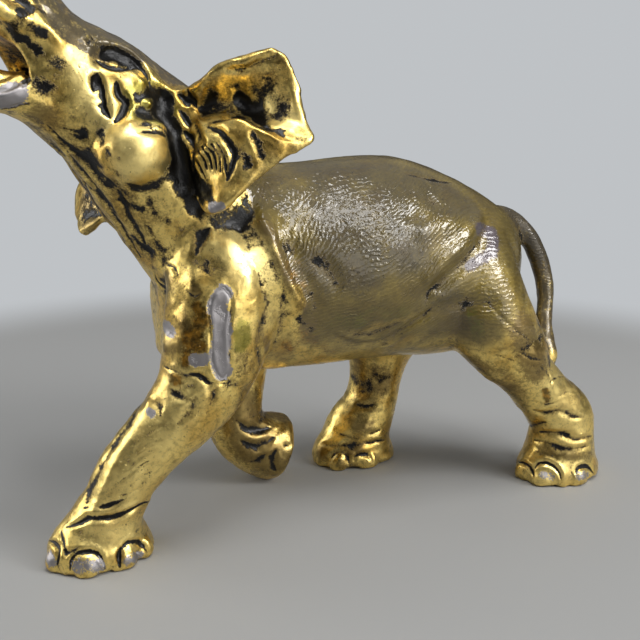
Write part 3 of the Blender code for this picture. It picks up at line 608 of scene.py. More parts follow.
# Umber and dark along the shoulder crease: partly brown patina, partly a painted shadow wedge.
work(near_side, (SHOULDER_CREASE,), ("press", 1.3, 0.8, 0.3, 1.0), ("umber", 2.4, 0.9, 1.0),
     ("dark", 1.4, 0.4, 1.0))
work(near_side, (BARE_STRIPE,), ("press", 3.0, 0.35))
work(near_side, (BARE_STRIPE_RIM,), ("cut", 0.45, 0.25, 0.4, 0.45, 0.0))
work(near_side, (BARE_STRIPE,), ("bare", 2.9, 1.0))
for start, end, size in BARE_SPOTS:
    press(drawn((start, end)), size, 0.3)
    lay_mark("bare", drawn((start, end)), size, 1.0)
CHEST_DABS = (("umber", BROWN_DABS, 0.9), ("amber", AMBER_DABS, 0.95), ("green", GREEN_DABS, 1.0))
for name, dabs, amount in CHEST_DABS:
    for start, end, size in dabs:
        lay_mark(name, drawn((start, end)), size, amount)
work(near_side, SWIRL_RINGS, ("press", 0.35, 0.05, 0.6))
work(near_side, NECK_BLACKS, ("dark", 3.4, 0.66, 1.0))
work(near_side, CHEST_SMEARS, ("press", 1.4, 0.25), ("dark", 3.4, 0.30, 1.0), ("umber", 5.0, 0.5, 1.0))
work(near_side, (CHEST_BROWN,), ("umber", 7.0, 0.5))
work(near_side, (BREAST_FILM,), ("film", 8.0, 0.45))
work(near_side, (LEG_TOP_SHADE,), ("dark", 3.0, 0.42))
work(near_side, (LEG_TOP_LINE,), ("cut", 0.8, 0.35, 0.4, 0.25))


def both_flanks(pixels):
    """A line on the near flank, and its twin on the far flank."""
    line = drawn(pixels)
    return line, dropped(line * (1, -1, 1))


work(both_flanks, (LEG_CREASE,), ("press", 1.8, 0.5, 0.3, 1.0), ("umber", 2.4, 0.6, 1.0))
work(both_flanks, (SHOULDER_BACK_RIDGE,), ("press", 1.8, -0.9))
work(both_flanks, (SHOULDER_BACK_GROOVE,), ("press", 2.2, 0.6))

# The back and the flanks
# Brown lacquer covers the hide of the back and the flanks. The wax model was combed there: fine
# ripples flow back from the shoulder, sag under the belly and stand upright at the haunch.
FLANK_FOLD = (
    (340, 334), (352, 338), (364, 339.5), (378, 338), (401, 325), (418, 314), (429, 306), (434, 295),
)
FLANK_FOLD_LOW = ((380, 347), (390, 344), (404, 335), (418, 326), (430, 321))
HAUNCH_CREASE = ((426, 303), (431, 294), (440, 284), (454, 271), (466, 258), (474, 247))
HAUNCH_TOP = ((424, 232), (438, 226), (452, 220), (468, 216), (478, 220))
HAUNCH_RIDGE = ((478, 222), (466, 238), (452, 252), (440, 264), (430, 280))
HIP_HOLLOWS = (((440, 204), (456, 206), (468, 212)), ((412, 216), (420, 206), (430, 200)))
SIDE_HOLLOW = ((320, 262), (327, 270), (335, 282))
BACK_LINE = ((404, 173), (420, 177), (438, 181), (454, 183))
FLANK_DARKS = (
    ((317, 260), (325, 266), 2.8, 0.42), ((326, 268), (333, 282), 2.6, 0.34),
    ((384, 344), (390, 346), 2.0, 0.45), ((406, 174), (452, 184), 1.4, 0.5),
)
FLANK_SMOKES = (
    (((320, 172), (370, 172), (420, 184), (450, 196)), 8.0, 0.85),
    (((336, 200), (352, 236), (360, 262)), 10.0, 1.0), (((390, 200), (404, 226), (408, 250)), 9.0, 0.85),
    (((436, 200), (470, 210)), 6.0, 0.8), (((262, 192), (284, 182), (290, 200)), 6.0, 0.6),
    (((318, 262), (334, 280)), 6.0, 0.7), (((430, 300), (452, 300), (470, 320)), 5.0, 0.45),
)
FLANK_AMBERS = (
    ((294, 266), (302, 288), 3.0, 0.42), ((284, 344), (290, 350), 1.6, 0.6),
    ((300, 336), (330, 352), 3.0, 0.3),
)
LILAC_DABS = (((477, 229), (492, 233), 2.4), ((494, 238), (492, 252), 2.4), ((486, 256), (470, 266), 2.0))
FLANK_GREENS = (((474, 314), (478, 334), 2.6, 0.45), ((340, 322), (400, 316), 4.0, 0.3))
TAIL_MIDDLE = (
    (67, 0, 88.5), (73.9, -0.4, 81.8), (78.6, -1.0, 73.2), (80.6, -2.2, 65.6), (80.2, -4.4, 58.4),
    (77.9, -7.2, 51.2), (77.4, -9.6, 46),
)
TAIL_TIP = ((77.4, -9.6, 46.0), (78.4, -11.8, 38.4))
TAIL_SHADE = ((523, 328), (530, 350), (537, 368))
TAIL_SEAT = ((538, 316), (541, 334), (544, 350), (549, 362))
FILM_EDGE = ((247, 206), (254, 220), (264, 240), (276, 262), (290, 290), (297, 312), (292, 340))
FILM_WANDER = 1.5
FILM_BLUR = 3
FILM_BELLY_BLUR = 26
FILM_BELLY = (-66, -46)
FILM_FOOT = (32, 60)
FILM_THIGH_SLANT = 0.42
FILM_THIGH_THINNING = 0.34
FILM_UNDER_THINNING = 0.5
RIPPLE_PITCH = 1.15
RIPPLE_DEEPS = (
    ((300, 212), 9.0), ((352, 182), 12.0), ((376, 212), 15.0), ((380, 246), 10.0), ((448, 224), 12.0),
    ((316, 240), 10.0), ((288, 262), 7.0), ((484, 300), 7.0), ((350, 320), 7.0),
)
RIPPLE_LEAST = 0.5
HINT_SOFTNESS = 6.0
FOLD_DEPTH = 0.010
RIPPLE_HINTS = (
    ((275, 185), (0.1, 1.0)), ((300, 178), (0.3, 0.95)), ((308, 200), (0.92, 0.4)),
    ((312, 228), (1.0, 0.12)), ((300, 240), (1.0, 0.0)), ((330, 205), (0.55, 0.83)),
    ((350, 180), (0.35, 0.93)), ((350, 210), (0.42, 0.9)), ((370, 190), (0.35, 0.93)),
    ((372, 225), (0.4, 0.92)), ((378, 258), (0.3, 0.95)), ((350, 245), (0.2, 0.98)),
    ((395, 200), (0.4, 0.92)), ((405, 252), (0.9, 0.42)), ((418, 240), (0.9, 0.42)),
    ((430, 225), (0.7, 0.7)), ((452, 222), (0.6, 0.8)), ((445, 250), (0.55, 0.83)),
    ((330, 300), (0.05, 1.0)), ((370, 300), (0.0, 1.0)), ((350, 325), (-0.1, 1.0)),
    ((390, 318), (0.35, 0.94)), ((410, 290), (0.55, 0.83)), ((300, 335), (-0.3, 0.95)),
    ((330, 345), (-0.15, 0.98)), ((440, 320), (0.2, 0.98)), ((486, 310), (0.0, 1.0)),
    ((480, 260), (0.3, 0.95)), ((500, 230), (0.2, 0.98)), ((280, 225), (0.8, -0.6)),
    ((275, 210), (0.3, 0.95)),
)

for line in both_flanks(FLANK_FOLD):
    press(line, 1.3, -0.5)
    press(line + (0, 0, -2.2), 1.5, 0.6)
work(both_flanks, (FLANK_FOLD_LOW,), ("press", 1.0, -0.35))
work(both_flanks, (HAUNCH_CREASE,), ("press", 2.3, 0.6, 0.5, 1.0))
work(both_flanks, (HAUNCH_TOP,), ("press", 3.0, -0.7))
work(both_flanks, (HAUNCH_RIDGE,), ("press", 2.2, -0.6))
work(both_flanks, HIP_HOLLOWS, ("press", 3.0, 0.5))
work(both_flanks, (SIDE_HOLLOW,), ("press", 2.4, 0.7))
work(both_flanks, (BACK_LINE,), ("cut", 0.9, 0.3, 0.4, 0.15))
for name, dabs in (("dark", FLANK_DARKS), ("amber", FLANK_AMBERS), ("green", FLANK_GREENS)):
    for start, end, size, amount in dabs:
        work(both_flanks, ((start, end),), (name, size, amount))
for pixels, size, amount in FLANK_SMOKES:
    work(both_flanks, (pixels,), ("smoke", size, amount))
for start, end, size in LILAC_DABS:
    lay_mark("lilac", drawn((start, end)), size, 1.0)
work(both_flanks, (SHOULDER_BACK_RIDGE,), ("umber", 2.6, 0.6))
lay_mark("steel", curve_through(TAIL_MIDDLE), 6.0, 1.0, around=True)
lay_mark("dark", curve_through(TAIL_MIDDLE), 6.0, 0.24, around=True)
work(near_side, (TAIL_SEAT,), ("dark", 3.2, 0.6))
lay_mark("steel", curve_through(TAIL_TIP), 3.2, 0.9, around=True)
work(near_side, (TAIL_SHADE,), ("umber", 6.0, 0.9), ("dark", 4.0, 0.42))

# The lacquer ends at the shoulder's back ridge, and thins out over the thigh and the belly
film_edge = drawn(FILM_EDGE)
film_edge = film_edge[np.argsort(film_edge[:, 2])]
film_start = np.interp(skin[:, 2], film_edge[:, 2], film_edge[:, 0])
film_blur = FILM_BLUR + FILM_BELLY_BLUR * smooth_step(-skin[:, 2], *FILM_BELLY)
past_edge = skin[:, 0] - film_start + FILM_WANDER * hammered(skin, 14.0, 3)
in_film = smooth_step(past_edge / film_blur, -0.3, 1.0)
in_film *= smooth_step(skin[:, 2] - FILM_THIGH_SLANT * np.clip(skin[:, 0] - 30, -30, 60), *FILM_FOOT)
in_ears = smooth_step(np.abs(skin[:, 1]), 20, 24) * smooth_step(skin[:, 2], 98, 103) * (skin[:, 0] < 8)
in_film *= 1 - in_ears
on_thigh = FILM_THIGH_THINNING * smooth_step(skin[:, 0], 34, 52)
thin_film = 1 - on_thigh * smooth_step(-skin[:, 2], -84, -66)
thin_film *= 1 - FILM_UNDER_THINNING * smooth_step(-outward[:, 2], 0.2, 0.8)
colour_marks["film"] = np.maximum(colour_marks["film"], in_film * thin_film)

# The comb: a height over the side view whose slope follows the hints
hint_places = []
hint_ways = []
for (right, down), (across, under) in RIPPLE_HINTS:
    hint = ((right - 2 * across, down - 2 * under), (right + 2 * across, down + 2 * under))
    pair = drawn(hint)[[0, -1]][:, [0, 2]]
    way = pair[1] - pair[0]
    hint_places.append(pair.mean(0))
    hint_ways.append(way / np.linalg.norm(way))
hint_places = np.array(hint_places)
hint_ways = np.array(hint_ways)
hint_count = len(hint_places)
apart = hint_places[:, None] - hint_places[None]
reach = np.linalg.norm(apart, axis=2) + 1e-9
block = apart[..., :, None] * apart[..., None, :] / reach[..., None, None]
block += reach[..., None, None] * np.eye(2)
system = np.zeros((2 * hint_count + 2, 2 * hint_count + 2))
system[:-2, :-2] = HINT_SOFTNESS * np.eye(2 * hint_count)
system[:-2, :-2] -= block.transpose(0, 2, 1, 3).reshape(2 * hint_count, -1)
system[:-2, -2:] = np.tile(np.eye(2), (hint_count, 1))
system[-2:, :-2] = np.tile(np.eye(2), (1, hint_count))
comb = np.linalg.solve(system, np.append(hint_ways.ravel(), (0, 0)))


def combed(places):
    """How many millimetres of ripples lie before each place."""
    flat = places[:, [0, 2]]
    height = flat @ comb[-2:]
    for spot, strength in zip(hint_places, comb[:-2].reshape(-1, 2)):
        offset = flat - spot
        height -= np.linalg.norm(offset, axis=1) * (offset @ strength)
    return height


hide = in_film * smooth_step(skin[:, 2], 38, 46)
depth_share = np.full(len(skin), RIPPLE_LEAST)
for pixel, radius in RIPPLE_DEEPS:
    for spot in np.vstack(both_flanks((pixel,))):
        gap = np.linalg.norm(skin - spot, axis=1)
        depth_share = np.maximum(depth_share, np.exp(-(gap / radius) ** 2))
colour_marks["ripple"] = hide * depth_share
fold_phase = combed(skin) * math.pi / RIPPLE_PITCH
folds = np.sin(fold_phase + 2.0 * hammered(skin, 8.0, 8) + hammered(skin, 4.0, 10))
skin -= outward * (hide * FOLD_DEPTH * folds * (1 + 0.6 * hammered(skin, 11.0, 9)))[:, None]

# The legs and the feet
# Four pillars with loose hide: wrinkles slant across them, two or three creases ring each ankle,
# and each round foot has scalloped nails, worn grey where it meets the table.
FORELEG_RIDGE = ((150, 404), (145, 414), (132, 436), (120, 456), (108, 478), (98, 500), (94, 512))
FORELEG_CREASES = (
    ((188, 372), (198, 376), (208, 384), (212, 396), (210, 406)), ((170, 388), (178, 396), (190, 400)),
    ((150, 398), (158, 404), (160, 414)), ((196, 396), (190, 410), (178, 424)),
    ((216, 386), (214, 400), (206, 414)),
)
FORELEG_WRINKLES = (
    ((124, 492), (140, 478), (156, 470)), ((118, 484), (134, 470), (150, 460)),
    ((128, 470), (142, 456), (158, 448)), ((134, 456), (148, 444), (164, 438)),
    ((112, 500), (126, 494), (142, 488)), ((146, 436), (158, 428), (172, 424)),
    ((110, 470), (120, 462), (128, 452)), ((150, 474), (160, 460), (172, 446)),
)
FORELEG_EDGE = ((141, 402), (132, 418), (120, 436), (108, 454), (98, 472), (88, 492))
FORELEG_BARE = ((150, 411), (152, 413))
FORELEG_AMBER = ((173, 379), (177, 381))
ANKLE_CREASES = (
    (((66, 527), (79, 523), (91, 517.5), (104, 518), (117, 516), (131, 510), (149, 501)), 1.0, 0.7),
    (((84, 508), (98, 508), (112, 504), (126, 498)), 0.8, 0.35),
    (((61, 531), (63, 542), (66, 553), (72, 551), (79, 547)), 0.8, 0.55),
)
FORE_NAILS = (
    (((70, 570), (71.5, 560), (77, 553.5), (86, 552), (95, 553), (101, 558), (105, 569)), 0.8, 0.7),
    (((121, 547), (119.5, 556), (120, 569)), 0.8, 0.7),
    (((121, 550), (128, 543), (138, 542), (147, 551), (149, 560)), 0.8, 0.6),
    (((46, 540), (53, 542), (59, 549), (57.5, 564)), 0.8, 0.7),
)
FORE_WORN = (((78, 566), (98, 566), 2.6), ((46, 550), (50, 560), 2.2), ((128, 560), (140, 556), 1.8))
HIND_CREASES = (
    (((534, 410), (548, 413), (560, 411), (573, 416), (584, 417.5)), 0.9, 0.5),
    (((540, 432), (551, 432.7), (565, 435), (576, 440), (592, 436)), 0.9, 0.6),
    (((534, 440), (548, 442.5), (560, 448), (574, 449), (588, 446)), 0.9, 0.6),
    (((524, 424), (536, 425), (546, 422)), 0.8, 0.35),
)
HIND_NAILS = (
    (((534, 470), (538, 464), (546, 463), (555, 467.5), (560, 474), (561, 480)), 0.8, 0.7),
    (((576, 476), (578, 469), (583, 466.5), (589, 467.5), (594, 474)), 0.8, 0.6),
    (((516, 462), (524, 463), (531, 470), (533.6, 477)), 0.8, 0.6),
)
HIND_WORN = (((580, 476), (587, 475), 1.9), ((542, 474), (552, 478), 1.7))
HIND_BROWN = ((541, 448), (560, 454), (590, 456))
HIND_AMBER = ((545, 390), (547, 400))
HIND_WRINKLES = (
    ((548, 384), (556, 378), (566, 376)), ((556, 398), (568, 392), (580, 392)),
    ((520, 352), (532, 358), (546, 360)), ((508, 366), (520, 372), (534, 374)),
    ((540, 366), (548, 374), (552, 386)), ((530, 400), (544, 404), (560, 402)),
)
THIGH_CREASES = (
    ((486, 300), (500, 316), (516, 330), (530, 340)), ((462, 348), (480, 352), (500, 356), (516, 362)),
)
THIGH_RIPPLES = tuple(((480, 290 + 4.4 * i), (486, 288.5 + 4.4 * i), (492, 290 + 4.4 * i)) for i in range(12))
LEG_BROWNS_AND_SHADE = (
    (((246, 392), (246, 410), (232, 430), (246, 456), (266, 470)), 6.0),
    (((262, 416), (284, 416), (288, 440)), 4.0), (((356, 366), (366, 384), (362, 410)), 7.0),
    (((322, 446), (330, 456), (350, 462)), 4.0), (((440, 356), (470, 362), (500, 376), (518, 396)), 5.0),
)
LEG_RUBBED_AND_HIGHLIGHT = (
    (((180, 392), (158, 430), (136, 470), (116, 506)), 8.0), (((100, 536), (130, 530)), 6.0),
    (((548, 372), (566, 400), (572, 440)), 7.0), (((540, 472), (580, 468)), 5.0),
)
LIFTED_CREASES = (
    (((236, 420), (246, 428), (258, 430), (270, 428)), 0.9, 0.6),
    (((240, 440), (252, 446), (264, 444), (274, 438)), 0.9, 0.6),
    (((248, 462), (258, 460), (266, 454)), 0.8, 0.5),
    (((276, 450), (273, 458), (273, 466), (276, 471)), 0.9, 0.8),
    (((284, 444), (288, 446), (291, 444)), 0.8, 0.5),
)
LIFTED_BROWN_AND_SHADE = ((240, 412), (256, 436), (268, 456))
LIFTED_DARKS = (
    ((238, 404), (250, 412), (262, 412)), ((246, 434), (256, 440), (266, 438)), ((276, 410), (286, 414)),
    ((240, 446), (250, 456), (262, 466)), ((270, 470), (278, 474)),
)
FAR_HIND_CREASES = (
    (((356, 404), (366, 406), (378, 404)), 0.9, 0.5),
    (((340, 434), (352, 437), (366, 436), (380, 430)), 0.9, 0.6),
    (((322, 444), (340, 446), (360, 444), (384, 440)), 0.9, 0.7),
    (((330, 462), (333, 455), (340, 452), (347, 456), (349, 464)), 0.7, 0.6),
    (((354, 464), (356, 457), (363, 454), (370, 457), (373, 463)), 0.7, 0.6),
)
FAR_HIND_DARKS = (
    ((352, 376), (364, 384), (376, 390)), ((350, 420), (362, 426), (374, 422)), ((318, 452), (326, 458)),
    ((344, 446), (360, 448)), ((372, 366), (384, 380), (380, 396)),
)
# Height and half depth of the crease rings on the sides of the legs that the photograph hides
LEG_RINGS = (
    ((-62, -30), 24.0, 0.30), ((-62, -30), 19.5, 0.25), ((70, -18), 26.0, 0.30), ((74, -18), 19.0, 0.35),
    ((26, 20), 22.0, 0.35), ((26, 20), 17.0, 0.35), ((-30, 16), 24.0, 0.35), ((-30, 16), 28.5, 0.30),
)
LEG_RING_WIDTH = 0.8
LEG_RING_REACH = 22.0

work(near_side, (FORELEG_RIDGE,), ("press", 2.2, -0.7))
work(near_side, FORELEG_CREASES, ("press", 1.2, 0.4, 0.4, 1.0), ("umber", 1.6, 0.5, 1.0))
work(near_side, FORELEG_WRINKLES, ("cut", 0.5, 0.13, 0.5, 0.12))
work(near_side, (FORELEG_EDGE,), ("press", 1.6, 0.3), ("dark", 2.4, 0.56))
work(near_side, (FORELEG_BARE,), ("bare", 1.5, 1.0))
work(near_side, (FORELEG_AMBER,), ("amber", 1.8, 0.9))
for rows in (ANKLE_CREASES, FORE_NAILS, HIND_NAILS):
    for pixels, half_width, depth in rows:
        cut(drawn(pixels), half_width, depth, 0.4, 0.7)
for pixels, half_width, depth in HIND_CREASES + LIFTED_CREASES + FAR_HIND_CREASES:
    press(drawn(pixels), half_width * 1.5, depth, 0.3, 1.0)
    lay_mark("umber", drawn(pixels), half_width * 1.4, 0.7, 1.0)
    lay_mark("dark", drawn(pixels), half_width * 0.7, 0.3, 1.0)
for start, end, size in FORE_WORN + HIND_WORN:
    lay_mark("bare", drawn((start, end)), size, 0.62)
work(near_side, (HIND_BROWN,), ("umber", 2.4, 0.7))
# Umber laid on the lifted foot, the far hind leg and the inner thigh: partly brown patina, partly painted
# shade where these lie out of the light.
for pixels, radius in LEG_BROWNS_AND_SHADE:
    lay_mark("umber", drawn(pixels), radius, 0.62)
# Paler bands down the near legs: rubbed brass, with painted highlights on their lit edges.
for pixels, radius in LEG_RUBBED_AND_HIGHLIGHT:
    lay_mark("rubbed", drawn(pixels), radius, 0.6)
# Painted shade: the lifted far forefoot is laid dark brown and darker, over its own brown patina.
work(near_side, (LIFTED_BROWN_AND_SHADE,), ("umber", 10.0, 1.0), ("dark", 8.0, 0.30))
work(near_side, (HIND_AMBER,), ("amber", 1.3, 0.8))
work(near_side, HIND_WRINKLES + THIGH_CREASES, ("cut", 0.6, 0.18, 0.5, 0.15))
work(near_side, THIGH_RIPPLES, ("press", 0.45, 0.16, 0.5, 1.0))
# Dark and umber patches on the lifted foot and the far hind leg: patina, and painted shade on these shaded
# legs.
work(near_side, LIFTED_DARKS + FAR_HIND_DARKS, ("dark", 3.0, 0.40, 1.0), ("umber", 4.5, 0.8, 1.0))
for (x, y), height, depth in LEG_RINGS:
    reach = np.hypot(skin[:, 0] - x, skin[:, 1] - y)
    level = skin[:, 2] - height - 0.9 * hammered(skin, 13.0, int(height * 2))
    push = depth * np.exp(-(level / LEG_RING_WIDTH) ** 2) * (reach < LEG_RING_REACH)
    push *= smooth_step(outward[:, 1], -0.3, 0.3)
    skin -= outward * push[:, None]

# The whole skin
# Modelled by hand in wax, so nothing is quite flat. The casting was trimmed to fewer faces
# where it is smooth, and the patina stayed in what lies deep.
LUMP_HEIGHT = 0.10
DENT_HEIGHT = 0.035
HOLLOW_REACHES = ((5, 0.16), (30, 0.9))
lumpiness = 1 - 0.7 * in_film
lumps = LUMP_HEIGHT * hammered(skin, 8.0, 1) + DENT_HEIGHT * hammered(skin, 3.4, 2)
skin += outward * (lumpiness * lumps)[:, None]
box_low = (np.array(cad_low) - np.array(MODEL_ORIGIN)) / MM
box_high = (np.array(cad_high) - np.array(MODEL_ORIGIN)) / MM
put_points(casting.data, np.clip(skin, box_low, box_high))


def mark(mesh, name, values):
    layer = mesh.attributes.new(name, "FLOAT", "POINT")
    layer.data.foreach_set("value", values.astype(np.float32))


for name, values in colour_marks.items():
    mark(casting.data, name, values)
trimming = casting.modifiers.new("trimming", "DECIMATE")
trimming.ratio = SKIN_TRIANGLES / (2 * len(casting.data.polygons))
settle(casting)
casting.data.shade_smooth()
skin = np.clip(points_of(casting.data), box_low, box_high)
put_points(casting.data, skin)
skin_edges = edges_of(casting.data)
outward = normals_of(casting.data)
hollow = np.zeros(len(skin))
for rounds, full_depth in HOLLOW_REACHES:
    spread = skin
    for _ in range(rounds):
        spread = averaged(spread, skin_edges)
    hollow += np.einsum("ij,ij->i", spread - skin, outward) / full_depth
mark(casting.data, "hollow", hollow)
mark(casting.data, "comb", combed(skin) / RIPPLE_PITCH)

# The finish
# Polished brass under clear lacquer, brown where the lacquer was tinted, black and crusted in
# the hollows, and rubbed through to grey metal in a few spots. Highlights are painted in as paler
# brass, and shade is painted dark in the ripple troughs and brown on the far legs.
BRASS = (0.95, 0.71, 0.22)
# Paler brass, for rubbed metal and for painted highlights
RUBBED_AND_HIGHLIGHT_BRASS = (0.95, 0.77, 0.31)
BRASS_WARM = (0.72, 0.47, 0.11)
TARNISH = (0.15, 0.105, 0.040)
LACQUER = (0.095, 0.068, 0.014)
LACQUER_LIGHT = (0.20, 0.145, 0.030)
SMOKE = (0.024, 0.021, 0.017)
# Black of the patina in hollows, also used as painted shade in the ripple troughs
PATINA_AND_SHADE = (0.004, 0.0036, 0.003)
GREY_METAL = (0.34, 0.32, 0.32)
CROWN_GREY = (0.060, 0.050, 0.036)
AMBER_DEEP = (0.075, 0.032, 0.004)
AMBER_LACQUER = (0.46, 0.21, 0.018)
VERDIGRIS = (0.13, 0.145, 0.015)
LILAC_FILM = (0.080, 0.070, 0.105)
# Brown patina, also painted as shade on the far legs, the lifted foot, the throat, beside the tail and in the
# shoulder crease
UMBER_AND_SHADE = (0.17, 0.115, 0.045)
COAT_ROUGHNESS = 0.05
COAT_IOR = 1.55
SHINE = 0.12
RIPPLE_RELIEF = 0.12
RIPPLE_RELIEF_LEAST = 0.045
SWIRL_RELIEF = 0.0035
PIT_RELIEF = 0.07
GRAIN_RELIEF = 0.018
CRUST_RELIEF = 0.14
BARE_SINK = 0.03

finish = bpy.data.materials.new("aged_brass")
finish.use_nodes = True
tree = finish.node_tree
shader = tree.nodes["Principled BSDF"]
shader.inputs["Coat Roughness"].default_value = COAT_ROUGHNESS
shader.inputs["Coat IOR"].default_value = COAT_IOR
shader.inputs["Specular IOR Level"].default_value = SHINE
place = tree.nodes.new("ShaderNodeTexCoord")


def attribute(name):
    node = tree.nodes.new("ShaderNodeAttribute")
    node.attribute_name = name
    return node.outputs["Fac"]


def noise(size_mm, detail=3.0, roughness=0.5, distortion=0.0):
    node = tree.nodes.new("ShaderNodeTexNoise")
    tree.links.new(place.outputs["Object"], node.inputs["Vector"])
    node.inputs["Scale"].default_value = 1 / (size_mm * MM)
    node.inputs["Detail"].default_value = detail
    node.inputs["Roughness"].default_value = roughness
    node.inputs["Distortion"].default_value = distortion
    return node.outputs["Fac"]


def calc(operation, a, b=None, c=None):
    node = tree.nodes.new("ShaderNodeMath")
    node.operation = operation
    for socket, value in zip(node.inputs, (a, b, c)):
        if isinstance(value, (int, float)):
            socket.default_value = value
        elif value is not None:
            tree.links.new(value, socket)
    return node.outputs[0]


def fade(value, start, end):
    """0 below start, 1 above end, smooth between."""
    node = tree.nodes.new("ShaderNodeMapRange")
    node.interpolation_type = "SMOOTHSTEP"
    tree.links.new(value, node.inputs["Value"])
    node.inputs["From Min"].default_value = start
    node.inputs["From Max"].default_value = end
    return node.outputs["Result"]


def mixed(share, under, over):
    node = tree.nodes.new("ShaderNodeMix")
    node.data_type = "RGBA"
    tree.links.new(share, node.inputs["Factor"])
    for socket, value in ((node.inputs[6], under), (node.inputs[7], over)):
        if isinstance(value, tuple):
            socket.default_value = (*value, 1.0)
        else:
            tree.links.new(value, socket)
    return node.outputs[2]


def mixed_number(share, under, over):
    node = tree.nodes.new("ShaderNodeMix")
    tree.links.new(share, node.inputs["Factor"])
    for socket, value in ((node.inputs["A"], under), (node.inputs["B"], over)):
        if isinstance(value, (int, float)):
            socket.default_value = value
        else:
            tree.links.new(value, socket)
    return node.outputs["Result"]


fine = noise(0.8, 4.0, 0.68)
coarse = noise(5.0, 4.0, 0.6, 0.4)
grain = noise(0.35, 2.0, 0.6)
ragged = calc("MULTIPLY_ADD", fine, 0.7, calc("MULTIPLY_ADD", grain, 0.3, -0.3))
ragged = calc("MULTIPLY_ADD", coarse, 0.6, ragged)


def cover(name, softness=0.08):
    """The ragged patch that a mark of the finish leaves: none at 0, half at 0.5, all at 1."""
    level = calc("MULTIPLY_ADD", attribute(name), 0.62, calc("ADD", ragged, -0.31))
    return fade(level, 0.5 - softness, 0.5 + softness)


swirl = calc("SINE", calc("MULTIPLY", noise(16.0, 2.5, 0.5, 0.6), 150.0))
comb_bend = calc("MULTIPLY", noise(8.0, 2.0, 0.5), 13.0)
comb_break = calc("MULTIPLY_ADD", noise(2.6, 2.0, 0.5), 9.0, calc("MULTIPLY", noise(1.3, 1.0, 0.5), 2.5))
comb_phase = calc("MULTIPLY_ADD", attribute("comb"), 2 * math.pi, calc("ADD", comb_bend, comb_break))
crest = calc("POWER", calc("MULTIPLY_ADD", calc("SINE", comb_phase), 0.5, 0.5), 2.0)
ripple = attribute("ripple")
rubbed = attribute("rubbed")

colour = mixed(fade(noise(11.0, 3.0, 0.6), 0.42, 0.68), BRASS, BRASS_WARM)
# Paler brass where this mark lies: rubbed metal, and a painted highlight on the cheek, face, shoulder, ear
# facet and near legs.
colour = mixed(calc("MULTIPLY", rubbed, 0.8), colour, RUBBED_AND_HIGHLIGHT_BRASS)
tarnished = fade(noise(4.5, 5.0, 0.7, 0.5), 0.50, 0.72)
tarnished = calc("MULTIPLY", tarnished, mixed_number(rubbed, 0.6, 0.12))
colour = mixed(tarnished, colour, TARNISH)
grime = calc("MULTIPLY", fade(noise(1.5, 5.0, 0.72, 0.3), 0.47, 0.66), mixed_number(rubbed, 0.5, 0.14))
colour = mixed(grime, colour, TARNISH)
film_level = calc("ADD", attribute("film"), calc("MULTIPLY_ADD", coarse, 0.5, -0.25))
film_share = fade(film_level, 0.15, 0.80)
film_colour = mixed(fade(noise(13.0, 4.0, 0.65), 0.38, 0.66), LACQUER, LACQUER_LIGHT)
# Painted shade: the lacquer is darkened in the troughs between the ripple crests, which catch the light.
painted_trough_shade = calc("MULTIPLY", calc("SUBTRACT", 1.0, crest), ripple)
film_colour = mixed(calc("MULTIPLY", painted_trough_shade, 0.50), film_colour, PATINA_AND_SHADE)
smoke = cover("smoke", 0.35)
film_colour = mixed(calc("MULTIPLY", smoke, 0.92), film_colour, SMOKE)
film = calc("MULTIPLY", film_share, 0.94)
colour = mixed(film, colour, film_colour)
# Umber: brown patina, and painted shade on the far legs, the lifted foot, the throat, beside the tail and in
# the shoulder crease.
colour = mixed(calc("MULTIPLY", cover("umber", 0.2), 0.8), colour, UMBER_AND_SHADE)
colour = mixed(calc("MULTIPLY", cover("green", 0.22), 0.7), colour, VERDIGRIS)
amber = mixed(fade(noise(2.6, 4.0, 0.65), 0.42, 0.62), AMBER_DEEP, AMBER_LACQUER)
colour = mixed(calc("MULTIPLY", cover("amber", 0.22), 0.85), colour, amber)
colour = mixed(calc("MULTIPLY", cover("lilac", 0.15), 0.7), colour, LILAC_FILM)
steel_worn = mixed_number(fade(noise(2.0, 5.0, 0.72), 0.52, 0.68), 0.94, 0.55)
steel_share = calc("MULTIPLY", cover("steel", 0.15), steel_worn)
colour = mixed(steel_share, colour, CROWN_GREY)
black_level = calc("MULTIPLY_ADD", attribute("dark"), 0.55, calc("MULTIPLY", attribute("hollow"), 0.22))
black_level = calc("ADD", black_level, calc("ADD", ragged, -0.20))
black_level = calc("MULTIPLY_ADD", film_share, -0.08, black_level)
colour = mixed(calc("MULTIPLY", fade(black_level, 0.32, 0.52), 0.75), colour, TARNISH)
black = fade(black_level, 0.45, 0.62)
speck = calc("MULTIPLY", fade(noise(0.55, 1.5, 0.5), 0.66, 0.73), fade(noise(7.0, 2.0, 0.5), 0.42, 0.60))
black = calc("MAXIMUM", black, calc("MULTIPLY", speck, 0.8))
colour = mixed(black, colour, PATINA_AND_SHADE)
bare = cover("bare", 0.05)
colour = mixed(bare, colour, GREY_METAL)
tree.links.new(colour, shader.inputs["Base Color"])

metal = mixed_number(film, 1.0, mixed_number(smoke, 0.3, 0.05))
metal = mixed_number(steel_share, metal, 0.4)
tree.links.new(mixed_number(black, metal, 0.0), shader.inputs["Metallic"])
gloss = calc("MULTIPLY_ADD", fade(noise(4.0, 4.0, 0.6), 0.35, 0.7), 0.16, 0.27)
gloss = mixed_number(calc("MULTIPLY", rubbed, 0.7), gloss, 0.44)
coat = mixed_number(film, 0.08, 1.0)
coat = mixed_number(steel_share, coat, 0.55)
tree.links.new(mixed_number(black, coat, 0.30), shader.inputs["Coat Weight"])
gloss = mixed_number(film, gloss, 0.42)
gloss = mixed_number(black, gloss, 0.30)
gloss = mixed_number(bare, gloss, 0.46)
tree.links.new(gloss, shader.inputs["Roughness"])

